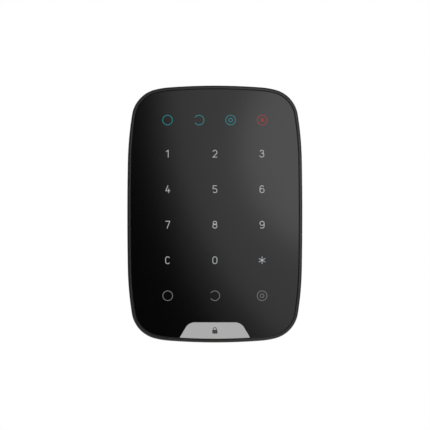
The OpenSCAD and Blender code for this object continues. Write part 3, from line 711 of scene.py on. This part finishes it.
panelCut = {
    "chamfer": 0.12,                # round the back
    "edge": 0.32,                   # radius of the front edge
    "edgeSteps": 6,
}
plateCut = {
    "top": -63.05,
    "half": 15.35,                  # half width at the top, before its corners are rounded
    "corner": 6.3,
    "lean": 30,                     # degrees that the ends lean outwards
    "footIn": 2.3,                  # from the outline
    "footHalf": 20.6,
    "footCorner": 0.5,
}
padlock = {
    "halfWide": 1.5,
    "bottom": -1.3,
    "top": 0.9,
    "shackle": (1.05, 0.65),        # outer and inner radius
    "shackleUp": 1.4,
}


def plateLoop(inset):
    p = plateCut
    lean = math.radians(p["lean"])
    cornerX = p["half"] - p["corner"] * math.tan(lean)
    footRadius = outlineRadii[4] - p["footIn"] - inset
    footAngle = math.degrees(math.asin((p["footHalf"] - inset / math.cos(lean)) / footRadius))
    centreZ = rim["z0"] + outlineRadii[4]
    right = arcPoints(0, centreZ, footRadius, -90, -90 + footAngle, 10)
    # the sharp foot corner gets a small radius
    tip = Vector(right.pop())
    before = (Vector(right[-1]) - tip).normalized()
    after = Vector((-math.sin(lean), math.cos(lean)))
    for t in (0.0, 0.25, 0.5, 0.75, 1.0):
        a, b = tip + before * p["footCorner"], tip + after * p["footCorner"]
        mid = a.lerp(tip, t).lerp(tip.lerp(b, t), t)
        right.append((mid.x, mid.y))
    right += arcPoints(cornerX, p["top"] - p["corner"], p["corner"] - inset, p["lean"], 90, 12)
    return right + [(-x, z) for x, z in right[:0:-1]]


def buildPanel():
    back, front, inset = panel["back"], panel["front"], rim["x1"] - panel["x1"]
    chamfer, edge, steps = panelCut["chamfer"], panelCut["edge"], panelCut["edgeSteps"]
    levels = [(inset + chamfer, back), (inset, back + chamfer), (inset, front - edge)]
    for k in range(1, steps + 1):
        a = math.radians(90 * k / steps)
        levels.append((inset + edge * (1 - math.cos(a)), front - edge + edge * math.sin(a)))
    obj = looseObject(loft([(outlineLoop(i), d) for i, d in levels]))
    plate = span("badge_plate")
    combine(obj, [prism(plateLoop(0), plate["back"], front + 1)], "DIFFERENCE")
    shade(obj, 25)
    finishPiece(obj, "touch_panel_glass", "keypad", "panel_acrylic", "touch_panel")

    levels = [(0.08, plate["back"]), (0.08, plate["front"] - 0.09), (0.1, plate["front"] - 0.04),
              (0.16, plate["front"] - 0.02)]
    parts = [(loft([(plateLoop(i), d) for i, d in levels]), 0)]
    # a plain printed padlock, one ink layer thick
    z, ink = (plate["z0"] + plate["z1"]) / 2 - 0.5, (plate["front"] - 0.1, plate["front"])
    wide, low, high = padlock["halfWide"], z + padlock["bottom"], z + padlock["top"]
    parts.append((prism(roundRect(-wide, wide, low, high, 0.3, 4), *ink), 1))
    shackle = []
    for radius, turn in zip(padlock["shackle"], (1, -1)):
        arc = arcPoints(0, z + padlock["shackleUp"], radius, 0, 180, 12)
        shackle += ([(radius, high - 0.1)] + arc + [(-radius, high - 0.1)])[::turn]
    parts.append((prism(shackle, *ink), 1))
    obj = looseObject(merged(parts))
    shade(obj, 25)
    finishPiece(obj, "name_plate", "keypad", "badge", "badge_plate", inkMaterial)
    print("panel and name plate made")


buildPanel()


coverCut = {
    "skirtIn": 3.0,                 # how far the rounded skirt draws in towards the wall
    "skirtSteps": 16,
    "wall": 2.6,
    "floorBack": 2.0,
    "floorFront": 3.2,
    "bulge": (13.8, 6.6, 51.5),     # over the cells: middle, half width, half height
    "lift": 6.0,
    "hooks": (34, (38, -40), 8),    # across, heights, width
    "boss": (3.6, 5.0, 2.4, 3.5, 1.35),     # radius and end, the head's radius and end, the screw's hole
    "plunger": (32, 3, 1.68, 3.3, 2.75, 7),     # across, up, hole, sleeve outside, inside and end
    "button": (-33, -6, 3.1),       # across, up, radius
    "sound": (-33, 12, 2.6, 0.8),   # across, up, pitch, radius
    "rooms": ((-26, 62, 6.5), (26, 62, 6.5), (-26, -56, 6.5), (26, -56, 6.5), (32, 20, 4.5)),
    "roomHalf": 7.5,
    "roomFront": 4.5,
    "lockDepth": 4.3,
    "lockNotch": (8, -70.7, -68),   # half width, top, and top of its back step
    "lockWall": (9.1, -72.9, -69.6),    # half width, bottom, top
    "lockBlock": (3.2, -64.5, 7.2),     # half width, top, front
    "lockBore": (1.9, -67, 1.4, -65.9),     # the insert's radius and end, the thread's radius and end
    "recessBottom": -62.5,
}


def recessLoop():
    side, gap = bracket["x1"], 0.5
    bottom = coverCut["recessBottom"] - coverCut["lift"] - gap
    return roundRect(-side - gap, side + gap, bottom, bracket["z1"] + 0.3, 14.5, 14)


def roomLoop(x, z, reach, grow):
    # room for a wall screw's head all through the lift
    middle, half = z - coverCut["lift"] / 2, coverCut["roomHalf"] + grow
    return roundRect(x - reach - grow, x + reach + grow, middle - half, middle + half, 1.2 + grow * 0.5, 5)


def buildRearCover():
    c = coverCut
    back, front = cover["back"], partLine
    levels, steps, high = [], c["skirtSteps"], front - 0.45
    for k in range(steps + 1):
        a = math.radians(90 * k / steps)
        levels.append((c["skirtIn"] * (1 - math.sin(a)), high - (high - back) * math.cos(a)))
    levels += [(0.02, front - 0.18), (0.12, front - 0.05), (0.35, front)]
    obj = looseObject(loft([(outlineLoop(i), d) for i, d in levels]))
    inside = prism(outlineLoop(c["wall"]), c["floorFront"], 20)
    combine(obj, [inside, prism(recessLoop(), -2, c["floorBack"])], "DIFFERENCE")
    bx, half, bulgeZ = c["bulge"]
    px, pz, hole, sleeve, sleeveIn, sleeveEnd = c["plunger"]
    fx, fz = frameCut["boss"][:2]
    bossR, bossEnd, headR, headEnd, screwR = c["boss"]
    notchHalf, notchTop, stepTop = c["lockNotch"]
    wallHalf, wallLow, wallHigh = c["lockWall"]
    blockHalf, blockTop, blockFront = c["lockBlock"]
    insertR, insertEnd, threadR, threadEnd = c["lockBore"]
    floorBack, floorFront = c["floorBack"], c["floorFront"]
    adds = [prism(roundRect(s * bx - half, s * bx + half, -bulgeZ, bulgeZ, 2.5), back, floorFront)
            for s in sides]
    adds += [prism(roomLoop(x, z, reach, 1), floorBack, c["roomFront"] + 0.8) for x, z, reach in c["rooms"]]
    adds += [rod(sx * fx, sz * fz, bossR, floorBack, bossEnd) for sx in sides for sz in sides]
    adds.append(rod(px, pz, sleeve, floorBack, sleeveEnd))
    adds.append(box(-wallHalf, wallHalf, wallLow, wallHigh, floorBack, front - 0.02))
    adds.append(box(-blockHalf, blockHalf, notchTop, blockTop, floorBack, blockFront))
    combine(obj, adds, "UNION")
    inner = half - 1
    cuts = [prism(roundRect(s * bx - inner, s * bx + inner, 1 - bulgeZ, bulgeZ - 1, 1.5), 1.5, floorFront + 1)
            for s in sides]
    cuts += [prism(roomLoop(x, z, reach, 0), 0, c["roomFront"]) for x, z, reach in c["rooms"]]
    for sx in sides:
        for sz in sides:
            cuts.append(rod(sx * fx, sz * fz, headR, 0, headEnd))
            cuts.append(rod(sx * fx, sz * fz, screwR, 3, 9))
    hx, hz, hw = c["hooks"]
    hookHalf = hw / 2 + 0.3
    for s in sides:
        for z in hz:
            slot = roundRect(s * hx - hookHalf, s * hx + hookHalf, z - c["lift"] - 0.5, z + 2.1, 0.5, 4)
            cuts.append(prism(slot, 0, floorFront + 1))
    cuts += [rod(px, pz, hole, 0, 4), rod(px, pz, sleeveIn, 3.5, 9)]
    cuts.append(rod(*c["button"], 0, 9))
    soundX, soundZ, pitch, soundR = c["sound"]
    for dx, dz in ((0, 0), (1, 0), (-1, 0), (0, 1), (0, -1)):
        cuts.append(rod(soundX + dx * pitch, soundZ + dz * pitch, soundR, 0, 9, 24))
    cuts.append(box(-notchHalf, notchHalf, beyond, notchTop, -1, 20))
    cuts.append(box(-notchHalf, notchHalf, beyond, stepTop, -1, floorBack))
    bore = [(0, notchTop - 1), (insertR, notchTop - 1), (insertR, insertEnd), (threadR, insertEnd),
            (threadR, threadEnd), (0, threadEnd)]
    cuts.append(lathe(bore, (0, 0, c["lockDepth"]), upright=True))
    combine(obj, cuts, "DIFFERENCE")
    softenEdges(obj, 0.18)
    shade(obj)
    finishPiece(obj, "rear_cover_shell", "keypad", "housing_abs", "rear_cover")
    print("rear cover made:", len(obj.data.polygons), "faces")


buildRearCover()


bracketCut = {
    "corner": 14,
    "bottom": -62.5,
    "thick": 1.8,
    "foot": 7,
    "window": (13.8, 6.9, -52, 58),     # over the cells: middle, half width, bottom, top
    "wide": (-40, -26, -16, 24),        # over the sounder and the button: left, right, bottom, top
    "label": (25, 39, -30.5, -9),
    "tab": (32, 20, 2.1),               # the screw hole of the break-off tab: across, up, radius
    "tabEdge": (7.5, -4, 27, 11, 12.2), # half width, bottom, top, and the bridge between these heights
    "slot": (26, (62, -56), 2.1, 9),    # for the wall screws: across, heights, half width, length
    "lugHigh": 3,
    "lugBore": (2.35, 1.9, 1.4),        # the head's room and its height, the thread's room
    "hook": (3.35, 4.75, 2, 7),         # back and front of the lip, height of the post, reach
}


def slotLoop(x, z, radius, length):
    run = length / 2 - radius
    return arcPoints(x + run, z, radius, -90, 90, 12) + arcPoints(x - run, z, radius, 90, 270, 12)


def buildBracket():
    b = bracketCut
    thick, foot, low = b["thick"], b["foot"], bracket["z0"]
    outer = roundRect(bracket["x0"], bracket["x1"], b["bottom"], bracket["z1"], b["corner"], 14)
    obj = looseObject(prism(outer, 0, thick))
    hookBack, hookFront, post, reach = b["hook"]
    hx, hz, hw = coverCut["hooks"]
    adds = [prism(roundRect(-foot, foot, low, b["bottom"] + 2, 0.8, 4), 0, thick),
            prism(roundRect(-foot, foot, low, low + b["lugHigh"], 0.6, 4), 0, bracket["front"])]
    for s in sides:
        left, right = s * hx - hw / 2, s * hx + hw / 2
        for z in hz:
            adds.append(box(left, right, z, z + post, thick - 0.4, hookFront))
            adds.append(box(left, right, z + 0.001, z + reach, hookBack, hookFront - 0.001))
    combine(obj, adds, "UNION")
    wx, wHalf, wz0, wz1 = b["window"]
    loops = [roundRect(s * wx - wHalf, s * wx + wHalf, wz0, wz1, 2) for s in sides]
    loops += [roundRect(*b["wide"], 2), roundRect(*b["label"], 2)]
    for s in sides:
        left, right = s * hx - hw / 2 - 0.2, s * hx + hw / 2 + 0.2
        loops += [roundRect(left, right, z + post, z + reach + 0.3, 0.5, 4) for z in hz]
    tabX, tabZ, tabR = b["tab"]
    loops.append(circleLoop(tabX, tabZ, tabR))
    slotX, slotHeights, slotR, length = b["slot"]
    loops += [slotLoop(s * slotX, z, slotR, length) for s in sides for z in slotHeights]
    cuts = [prism(loop, -1, thick + 1) for loop in loops]
    # the groove round the break-off tab, left whole at four bridges
    tabHalf, tabLow, tabHigh, bridgeLow, bridgeHigh = b["tabEdge"]
    groove = 0.5
    for s in sides:
        middle = tabX + s * tabHalf
        for z0, z1 in ((tabLow, bridgeLow), (bridgeHigh, tabHigh)):
            cuts.append(box(middle - groove, middle + groove, z0, z1, -1, thick + 1))
        for z in (tabLow + groove, tabHigh - groove):
            left, right = sorted((tabX + s * 0.6, tabX + s * (tabHalf + 0.4)))
            cuts.append(box(left, right, z - groove, z + groove, -1, thick + 1))
    headR, headHigh, threadR = b["lugBore"]
    step = low + headHigh
    bore = [(0, low - 1), (headR, low - 1), (headR, step), (threadR, step), (threadR, low + 4), (0, low + 4)]
    cuts.append(lathe(bore, (0, 0, coverCut["lockDepth"]), upright=True))
    combine(obj, cuts, "DIFFERENCE")
    softenEdges(obj, 0.2)
    shade(obj)
    finishPiece(obj, "wall_bracket_plate", "wall_bracket", "bracket_abs", "mounting_bracket")
    print("wall bracket made:", len(obj.data.polygons), "faces")


buildBracket()


lockCut = {
    "headRadius": 2.2,
    "headHigh": 1.4,
    "socket": 1.1,
    "socketDeep": 1.0,
    "thread": 1.25,
    "pitch": 0.45,
    "ridge": 0.2,
    "seatGap": 0.02,                # between the head and its washer
    "washerBore": 1.4,
}
screwCut = {
    "headHigh": 1.4,
    "recess": 1.35,
    "thread": 1.25,
    "pitch": 0.95,
    "ridge": 0.32,
}


def hexagon(radius):
    return lambda angle: radius * math.cos(math.radians(30)) / math.cos(math.radians(angle % 60 - 30))


def crossRecess(reach):
    return lambda angle: reach * (0.36 + 0.64 * abs(math.cos(math.radians(2 * angle))) ** 5)


def buildLockScrew():
    k = lockCut
    low, high = span("retaining_screw")["z0"], span("retaining_screw")["z1"]
    r, top = k["headRadius"], low + k["headHigh"] - k["seatGap"]
    socket = hexagon(k["socket"])
    floorZ = low + k["socketDeep"]
    profile = [(0, floorZ), (hexagon(k["socket"] * 0.8), floorZ), (socket, floorZ - 0.15),
               (socket, low + 0.12), (hexagon(k["socket"] + 0.12), low),
               (r - 0.35, low), (r - 0.12, low + 0.08), (r, low + 0.35), (r, top - 0.12), (r - 0.08, top),
               (k["thread"] + 0.05, top), (k["thread"] - k["ridge"], top + 0.15)]
    profile += threadRings(top + 0.2, high - 0.45, k["thread"], k["ridge"], k["pitch"])
    profile += [(0.8, high - 0.1), (0.65, high), (0, high)]
    obj = looseObject(lathe(profile, (0, 0, coverCut["lockDepth"]), upright=True))
    shade(obj, 40)
    finishPiece(obj, "lock_screw_turned", "lock_screw", "black_steel", "retaining_screw")

    ring = span("retaining_washer")
    a, b, outer, bore = ring["z0"], ring["z1"], ring["x1"], k["washerBore"]
    profile = [(bore, a + 0.05), (bore + 0.05, a), (outer - 0.1, a), (outer, a + 0.1), (outer, b - 0.1),
               (outer - 0.1, b), (bore + 0.05, b), (bore, b - 0.05), (bore, a + 0.05)]
    obj = looseObject(lathe(profile, (0, 0, coverCut["lockDepth"]), upright=True))
    shade(obj, 40)
    finishPiece(obj, "lock_washer_ring", "lock_washer", "black_steel", "retaining_washer")


def buildHousingScrews():
    parts, k = [], screwCut
    for s in solidSpans("housing_screws"):
        x, z = (s["x0"] + s["x1"]) / 2, (s["z0"] + s["z1"]) / 2
        back, front, r = s["back"], s["front"], (s["x1"] - s["x0"]) / 2
        under = back + k["headHigh"]
        cut = crossRecess(k["recess"])
        profile = [(0, back + 0.95), (0.2, back + 0.95), (cut, back + 0.2), (cut, back + 0.03), (1.5, back),
                   (r - 0.55, back + 0.06), (r - 0.2, back + 0.3), (r, back + 0.7), (r, under - 0.15),
                   (r - 0.1, under), (1.1, under), (0.95, under + 0.2)]
        profile += threadRings(under + 0.3, front - 0.9, k["thread"], k["ridge"], k["pitch"])
        profile += [(0.7, front - 0.6), (0.3, front - 0.1), (0, front)]
        parts.append((lathe(profile, (x, z, 0)), 0))
    obj = looseObject(merged(parts))
    shade(obj, 40)
    finishPiece(obj, "housing_screws_turned", "keypad", "zinc_steel", "housing_screws")
    print("screws made")


buildLockScrew()
buildHousingScrews()


pinCut = {
    "radius": 1.6,
    "flange": (3.9, 4.5),           # its back and front
    "spring": (0.2, 5.5),           # radius of the wire, turns
}
buttonCut = {
    "radius": 3.0,
    "flange": (3.5, 4.3),
    "stem": 1.2,
    "ring": (1.55, 1.25),           # the standby sign's outer and inner radius
    "gap": (128, 404),              # degrees where its ring starts and ends
    "bar": (0.15, 0.55, 1.75),      # half width, bottom, top
    "engraved": 0.2,
}


def buildTamperPin():
    s, r = span("tamper_plunger"), pinCut["radius"]
    x, z = (s["x0"] + s["x1"]) / 2, (s["z0"] + s["z1"]) / 2
    outer = (s["x1"] - s["x0"]) / 2
    back, front = s["back"], s["front"]
    f0, f1 = pinCut["flange"]
    profile = [(0, back), (r - 0.6, back + 0.02), (r - 0.25, back + 0.13), (r - 0.06, back + 0.35),
               (r, back + 0.6), (r, f0), (outer - 0.1, f0), (outer, f0 + 0.1), (outer, f1 - 0.1),
               (outer - 0.1, f1), (r, f1), (r, front - 0.2), (r - 0.2, front), (0, front)]
    obj = looseObject(lathe(profile, (x, z, 0)))
    shade(obj, 40)
    finishPiece(obj, "tamper_pin_turned", "tamper_pin", "pin_pom", "tamper_plunger")

    s = span("tamper_spring")
    wire, turns = pinCut["spring"]
    r = (s["x1"] - s["x0"]) / 2 - wire
    points = []
    for angle, radius, height in coilPoints(r, r, s["front"] - s["back"], wire, turns):
        d = unitAt(angle) * radius
        points.append((x + d.x, z + d.y, s["back"] + height))
    obj = looseObject(tube(points, wire))
    shade(obj, 60)
    obj.name = obj.data.name = "tamper_spring_wire"
    obj.data.materials.append(materials["nickel_spring"])
    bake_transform(obj)
    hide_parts("tamper_spring")


def buildPowerButton():
    s = span("power_button")
    x, z = (s["x0"] + s["x1"]) / 2, (s["z0"] + s["z1"]) / 2
    b, outer = buttonCut, (s["x1"] - s["x0"]) / 2
    r, stem = b["radius"], b["stem"]
    back, front = s["back"], s["front"]
    f0, f1 = b["flange"]
    profile = [(0, back + 0.06), (0.6, back + 0.05), (1.8, back), (r - 0.35, back), (r - 0.1, back + 0.1),
               (r, back + 0.35), (r, f0), (outer - 0.1, f0), (outer, f0 + 0.1), (outer, f1 - 0.1),
               (outer - 0.1, f1), (stem, f1), (stem, front - 0.1), (stem - 0.1, front), (0, front)]
    obj = looseObject(lathe(profile, (x, z, 0), steps=64))
    # engraved standby sign: an open ring with a bar in its gap
    outside, inside = (arcPoints(x, z, radius, *b["gap"], 23) for radius in b["ring"])
    half, low, high = b["bar"]
    deep = back + b["engraved"]
    sign = [prism(outside + inside[::-1], 0, deep), box(x - half, x + half, z + low, z + high, 0, deep)]
    combine(obj, sign, "DIFFERENCE")
    shade(obj, 40)
    finishPiece(obj, "power_button_cap", "power_key", "key_abs", "power_button")
    print("tamper pin and power button made")


buildTamperPin()
buildPowerButton()


contactCut = {"wire": 0.3, "turns": 4.5, "narrowing": 1}


def buildCells():
    for n in range(1, 5):
        s = span("cell_" + str(n))
        r, length = (s["x1"] - s["x0"]) / 2, s["z1"] - s["z0"]
        x, depth = (s["x0"] + s["x1"]) / 2, (s["back"] + s["front"]) / 2
        # the positive button, the crimped end, the sleeve and the flat negative end
        profile = [(0, 0), (1.65, 0), (1.85, 0.08), (1.9, 0.25), (1.9, 0.82), (2.5, 0.82), (2.7, 0.95),
                   (3.6, 0.95), (3.8, 0.82), (r - 0.9, 0.82), (r - 0.75, 0.9), (r - 0.35, 0.88),
                   (r - 0.1, 1.0), (r, 1.3), (r, length - 0.8), (r - 0.1, length - 0.45),
                   (r - 0.35, length - 0.32), (r - 0.8, length - 0.35), (r - 1.0, length - 0.1),
                   (r - 1.3, length), (0, length)]
        flip = 1 if x > 0 else -1
        start = s["z0"] if x > 0 else s["z1"]
        bm = lathe([(radius, flip * h) for radius, h in profile], (x, start, depth), upright=True)
        obj = looseObject(bm)
        lowest = (r - 0.8) * mm
        for face in obj.data.polygons:
            spots = [obj.data.vertices[v].co for v in face.vertices]
            reach = min(math.hypot(p.x - x * mm, p.y + depth * mm) for p in spots)
            face.material_index = 0 if reach > lowest else 1
        shade(obj, 35)
        bare = materials["zinc_steel"]
        finishPiece(obj, "battery_" + str(n), "keypad", "cell_wrap", "cell_" + str(n), bare)


def buildContactSprings():
    parts, wire, turns = [], contactCut["wire"], contactCut["turns"]
    for s in solidSpans("contact_springs"):
        x, depth = (s["x0"] + s["x1"]) / 2, (s["back"] + s["front"]) / 2
        r = (s["x1"] - s["x0"]) / 2 - wire
        top, small = s["z0"] > 0, r - contactCut["narrowing"]
        points = []
        for angle, radius, height in coilPoints(r, small, s["z1"] - s["z0"], wire, turns):
            d = unitAt(angle) * radius
            points.append((x + d.x, s["z1"] - height if top else s["z0"] + height, depth + d.y))
        parts.append((tube(points, wire), 0))
    obj = looseObject(merged(parts))
    shade(obj, 60)
    finishPiece(obj, "contact_springs_wire", "keypad", "nickel_spring", "contact_springs")
    print("batteries and springs made")


buildCells()
buildContactSprings()


def aim(obj, target):
    obj.rotation_mode = "QUATERNION"
    obj.rotation_quaternion = (Vector(target) - obj.location).to_track_quat("-Z", "Y")


def addLight(name, size, energy, location, target):
    data = bpy.data.lights.new(name, "AREA")
    data.shape = "RECTANGLE"
    data.size, data.size_y = size
    data.energy = energy
    obj = bpy.data.objects.new(name, data)
    obj.location = location
    scene.collection.objects.link(obj)
    aim(obj, target)
    return obj


view = {
    "distance": 0.9,
    "across": 0.2507,           # width seen at the rim, in metres
    "aimX": 0.00007,
    "aimZ": -0.00054,
}
cameraData = bpy.data.cameras.new("camera")
camera = bpy.data.objects.new("camera", cameraData)
scene.collection.objects.link(camera)
rimY = -rim["front"] * mm
camera.location = (view["aimX"], rimY - view["distance"], view["aimZ"])
aim(camera, (view["aimX"], rimY, view["aimZ"]))
cameraData.lens = cameraData.sensor_width * view["distance"] / view["across"]
cameraData.clip_start, cameraData.clip_end = 0.05, 20
scene.camera = camera

# a large round softbox with a bright heart, beside the lens; its edge and falloff are what the panel mirrors
key = {
    "behind": 0.03,
    "discs": (          # x, z, radius, radiance
        (0.48, 0.16, 0.56, 0.29),
        (0.36, 0.16, 0.42, 0.73),
        (0.16, 0.08, 0.13, 1.05),
    ),
}
for i, (x, z, radius, radiance) in enumerate(key["discs"]):
    y = camera.location.y - key["behind"] + 0.004 * i
    power = radiance * math.pi * math.pi * radius * radius
    lamp = addLight("key_" + str(i + 1), (2 * radius, 2 * radius), power, (x, y, z), (x, 0, z))
    lamp.data.shape = "DISK"
softboxes = {           # size, watts, place
    "top_strip": ((1.2, 0.5), 1.5, (0.1, -0.5, 1.1)),
    "fill_left": ((0.3, 1.2), 1, (-1.2, -0.3, 0.1)),
    "back_left": ((1.0, 1.2), 20, (-1.1, 1.3, 0.7)),
    "back_right": ((1.0, 1.2), 14, (1.2, 1.2, 0.4)),
}
for name, (size, watts, spot) in softboxes.items():
    addLight(name, size, watts, spot, (0, 0, 0))

floorMaterial, floorTree = newMaterial("matte white paper")
floorPlace = addNode(floorTree, "TexCoord").outputs["Object"]
floorGrain = addNode(floorTree, "TexNoise", {"Scale": 60.0, "Detail": 4.0}, {"Vector": floorPlace})
floorColour = addNode(floorTree, "Mix", {"data_type": "RGBA", 6: linear("#f4f4f3"), 7: linear("#fafaf9")},
                      {0: floorGrain.outputs["Fac"]})
floorShader = addNode(floorTree, "BsdfPrincipled", {"Roughness": 0.9}, {"Base Color": floorColour.outputs[2]})
addNode(floorTree, "OutputMaterial", None, {"Surface": floorShader.outputs[0]})
floorSize, floorDrop = 7, 1.3       # radius, and how far below the keypad, in metres
floorMesh = bpy.data.meshes.new("floor")
floorEdge = [unitAt(5 * k) * floorSize for k in range(72)]
floorMesh.from_pydata([(p.x, p.y, 0) for p in floorEdge], [], [tuple(range(72))])
floor = bpy.data.objects.new("floor", floorMesh)
floor.location.z = cadLow.z - floorDrop
floorMesh.materials.append(floorMaterial)
scene.collection.objects.link(floor)

# a white studio: bright to the lens and to matt surfaces, nearly dark in reflections,
# so that black stays black
world = bpy.data.worlds.new("studio")
scene.world = world
world.use_nodes = True
worldTree = world.node_tree
worldTree.nodes.clear()
path = addNode(worldTree, "LightPath")
levels = {"lens": 1.0, "matt": 0.6, "mirrored": 0.02}
glows = {name: addNode(worldTree, "Background", {"Color": (1, 1, 1, 1), "Strength": level}).outputs[0]
         for name, level in levels.items()}
bounced = addNode(worldTree, "MixShader", None,
                  {0: path.outputs["Is Diffuse Ray"], 1: glows["mirrored"], 2: glows["matt"]})
mixed = addNode(worldTree, "MixShader", None,
                {0: path.outputs["Is Camera Ray"], 1: bounced.outputs[0], 2: glows["lens"]})
addNode(worldTree, "OutputWorld", None, {"Surface": mixed.outputs[0]})
print("camera, lights and floor set")
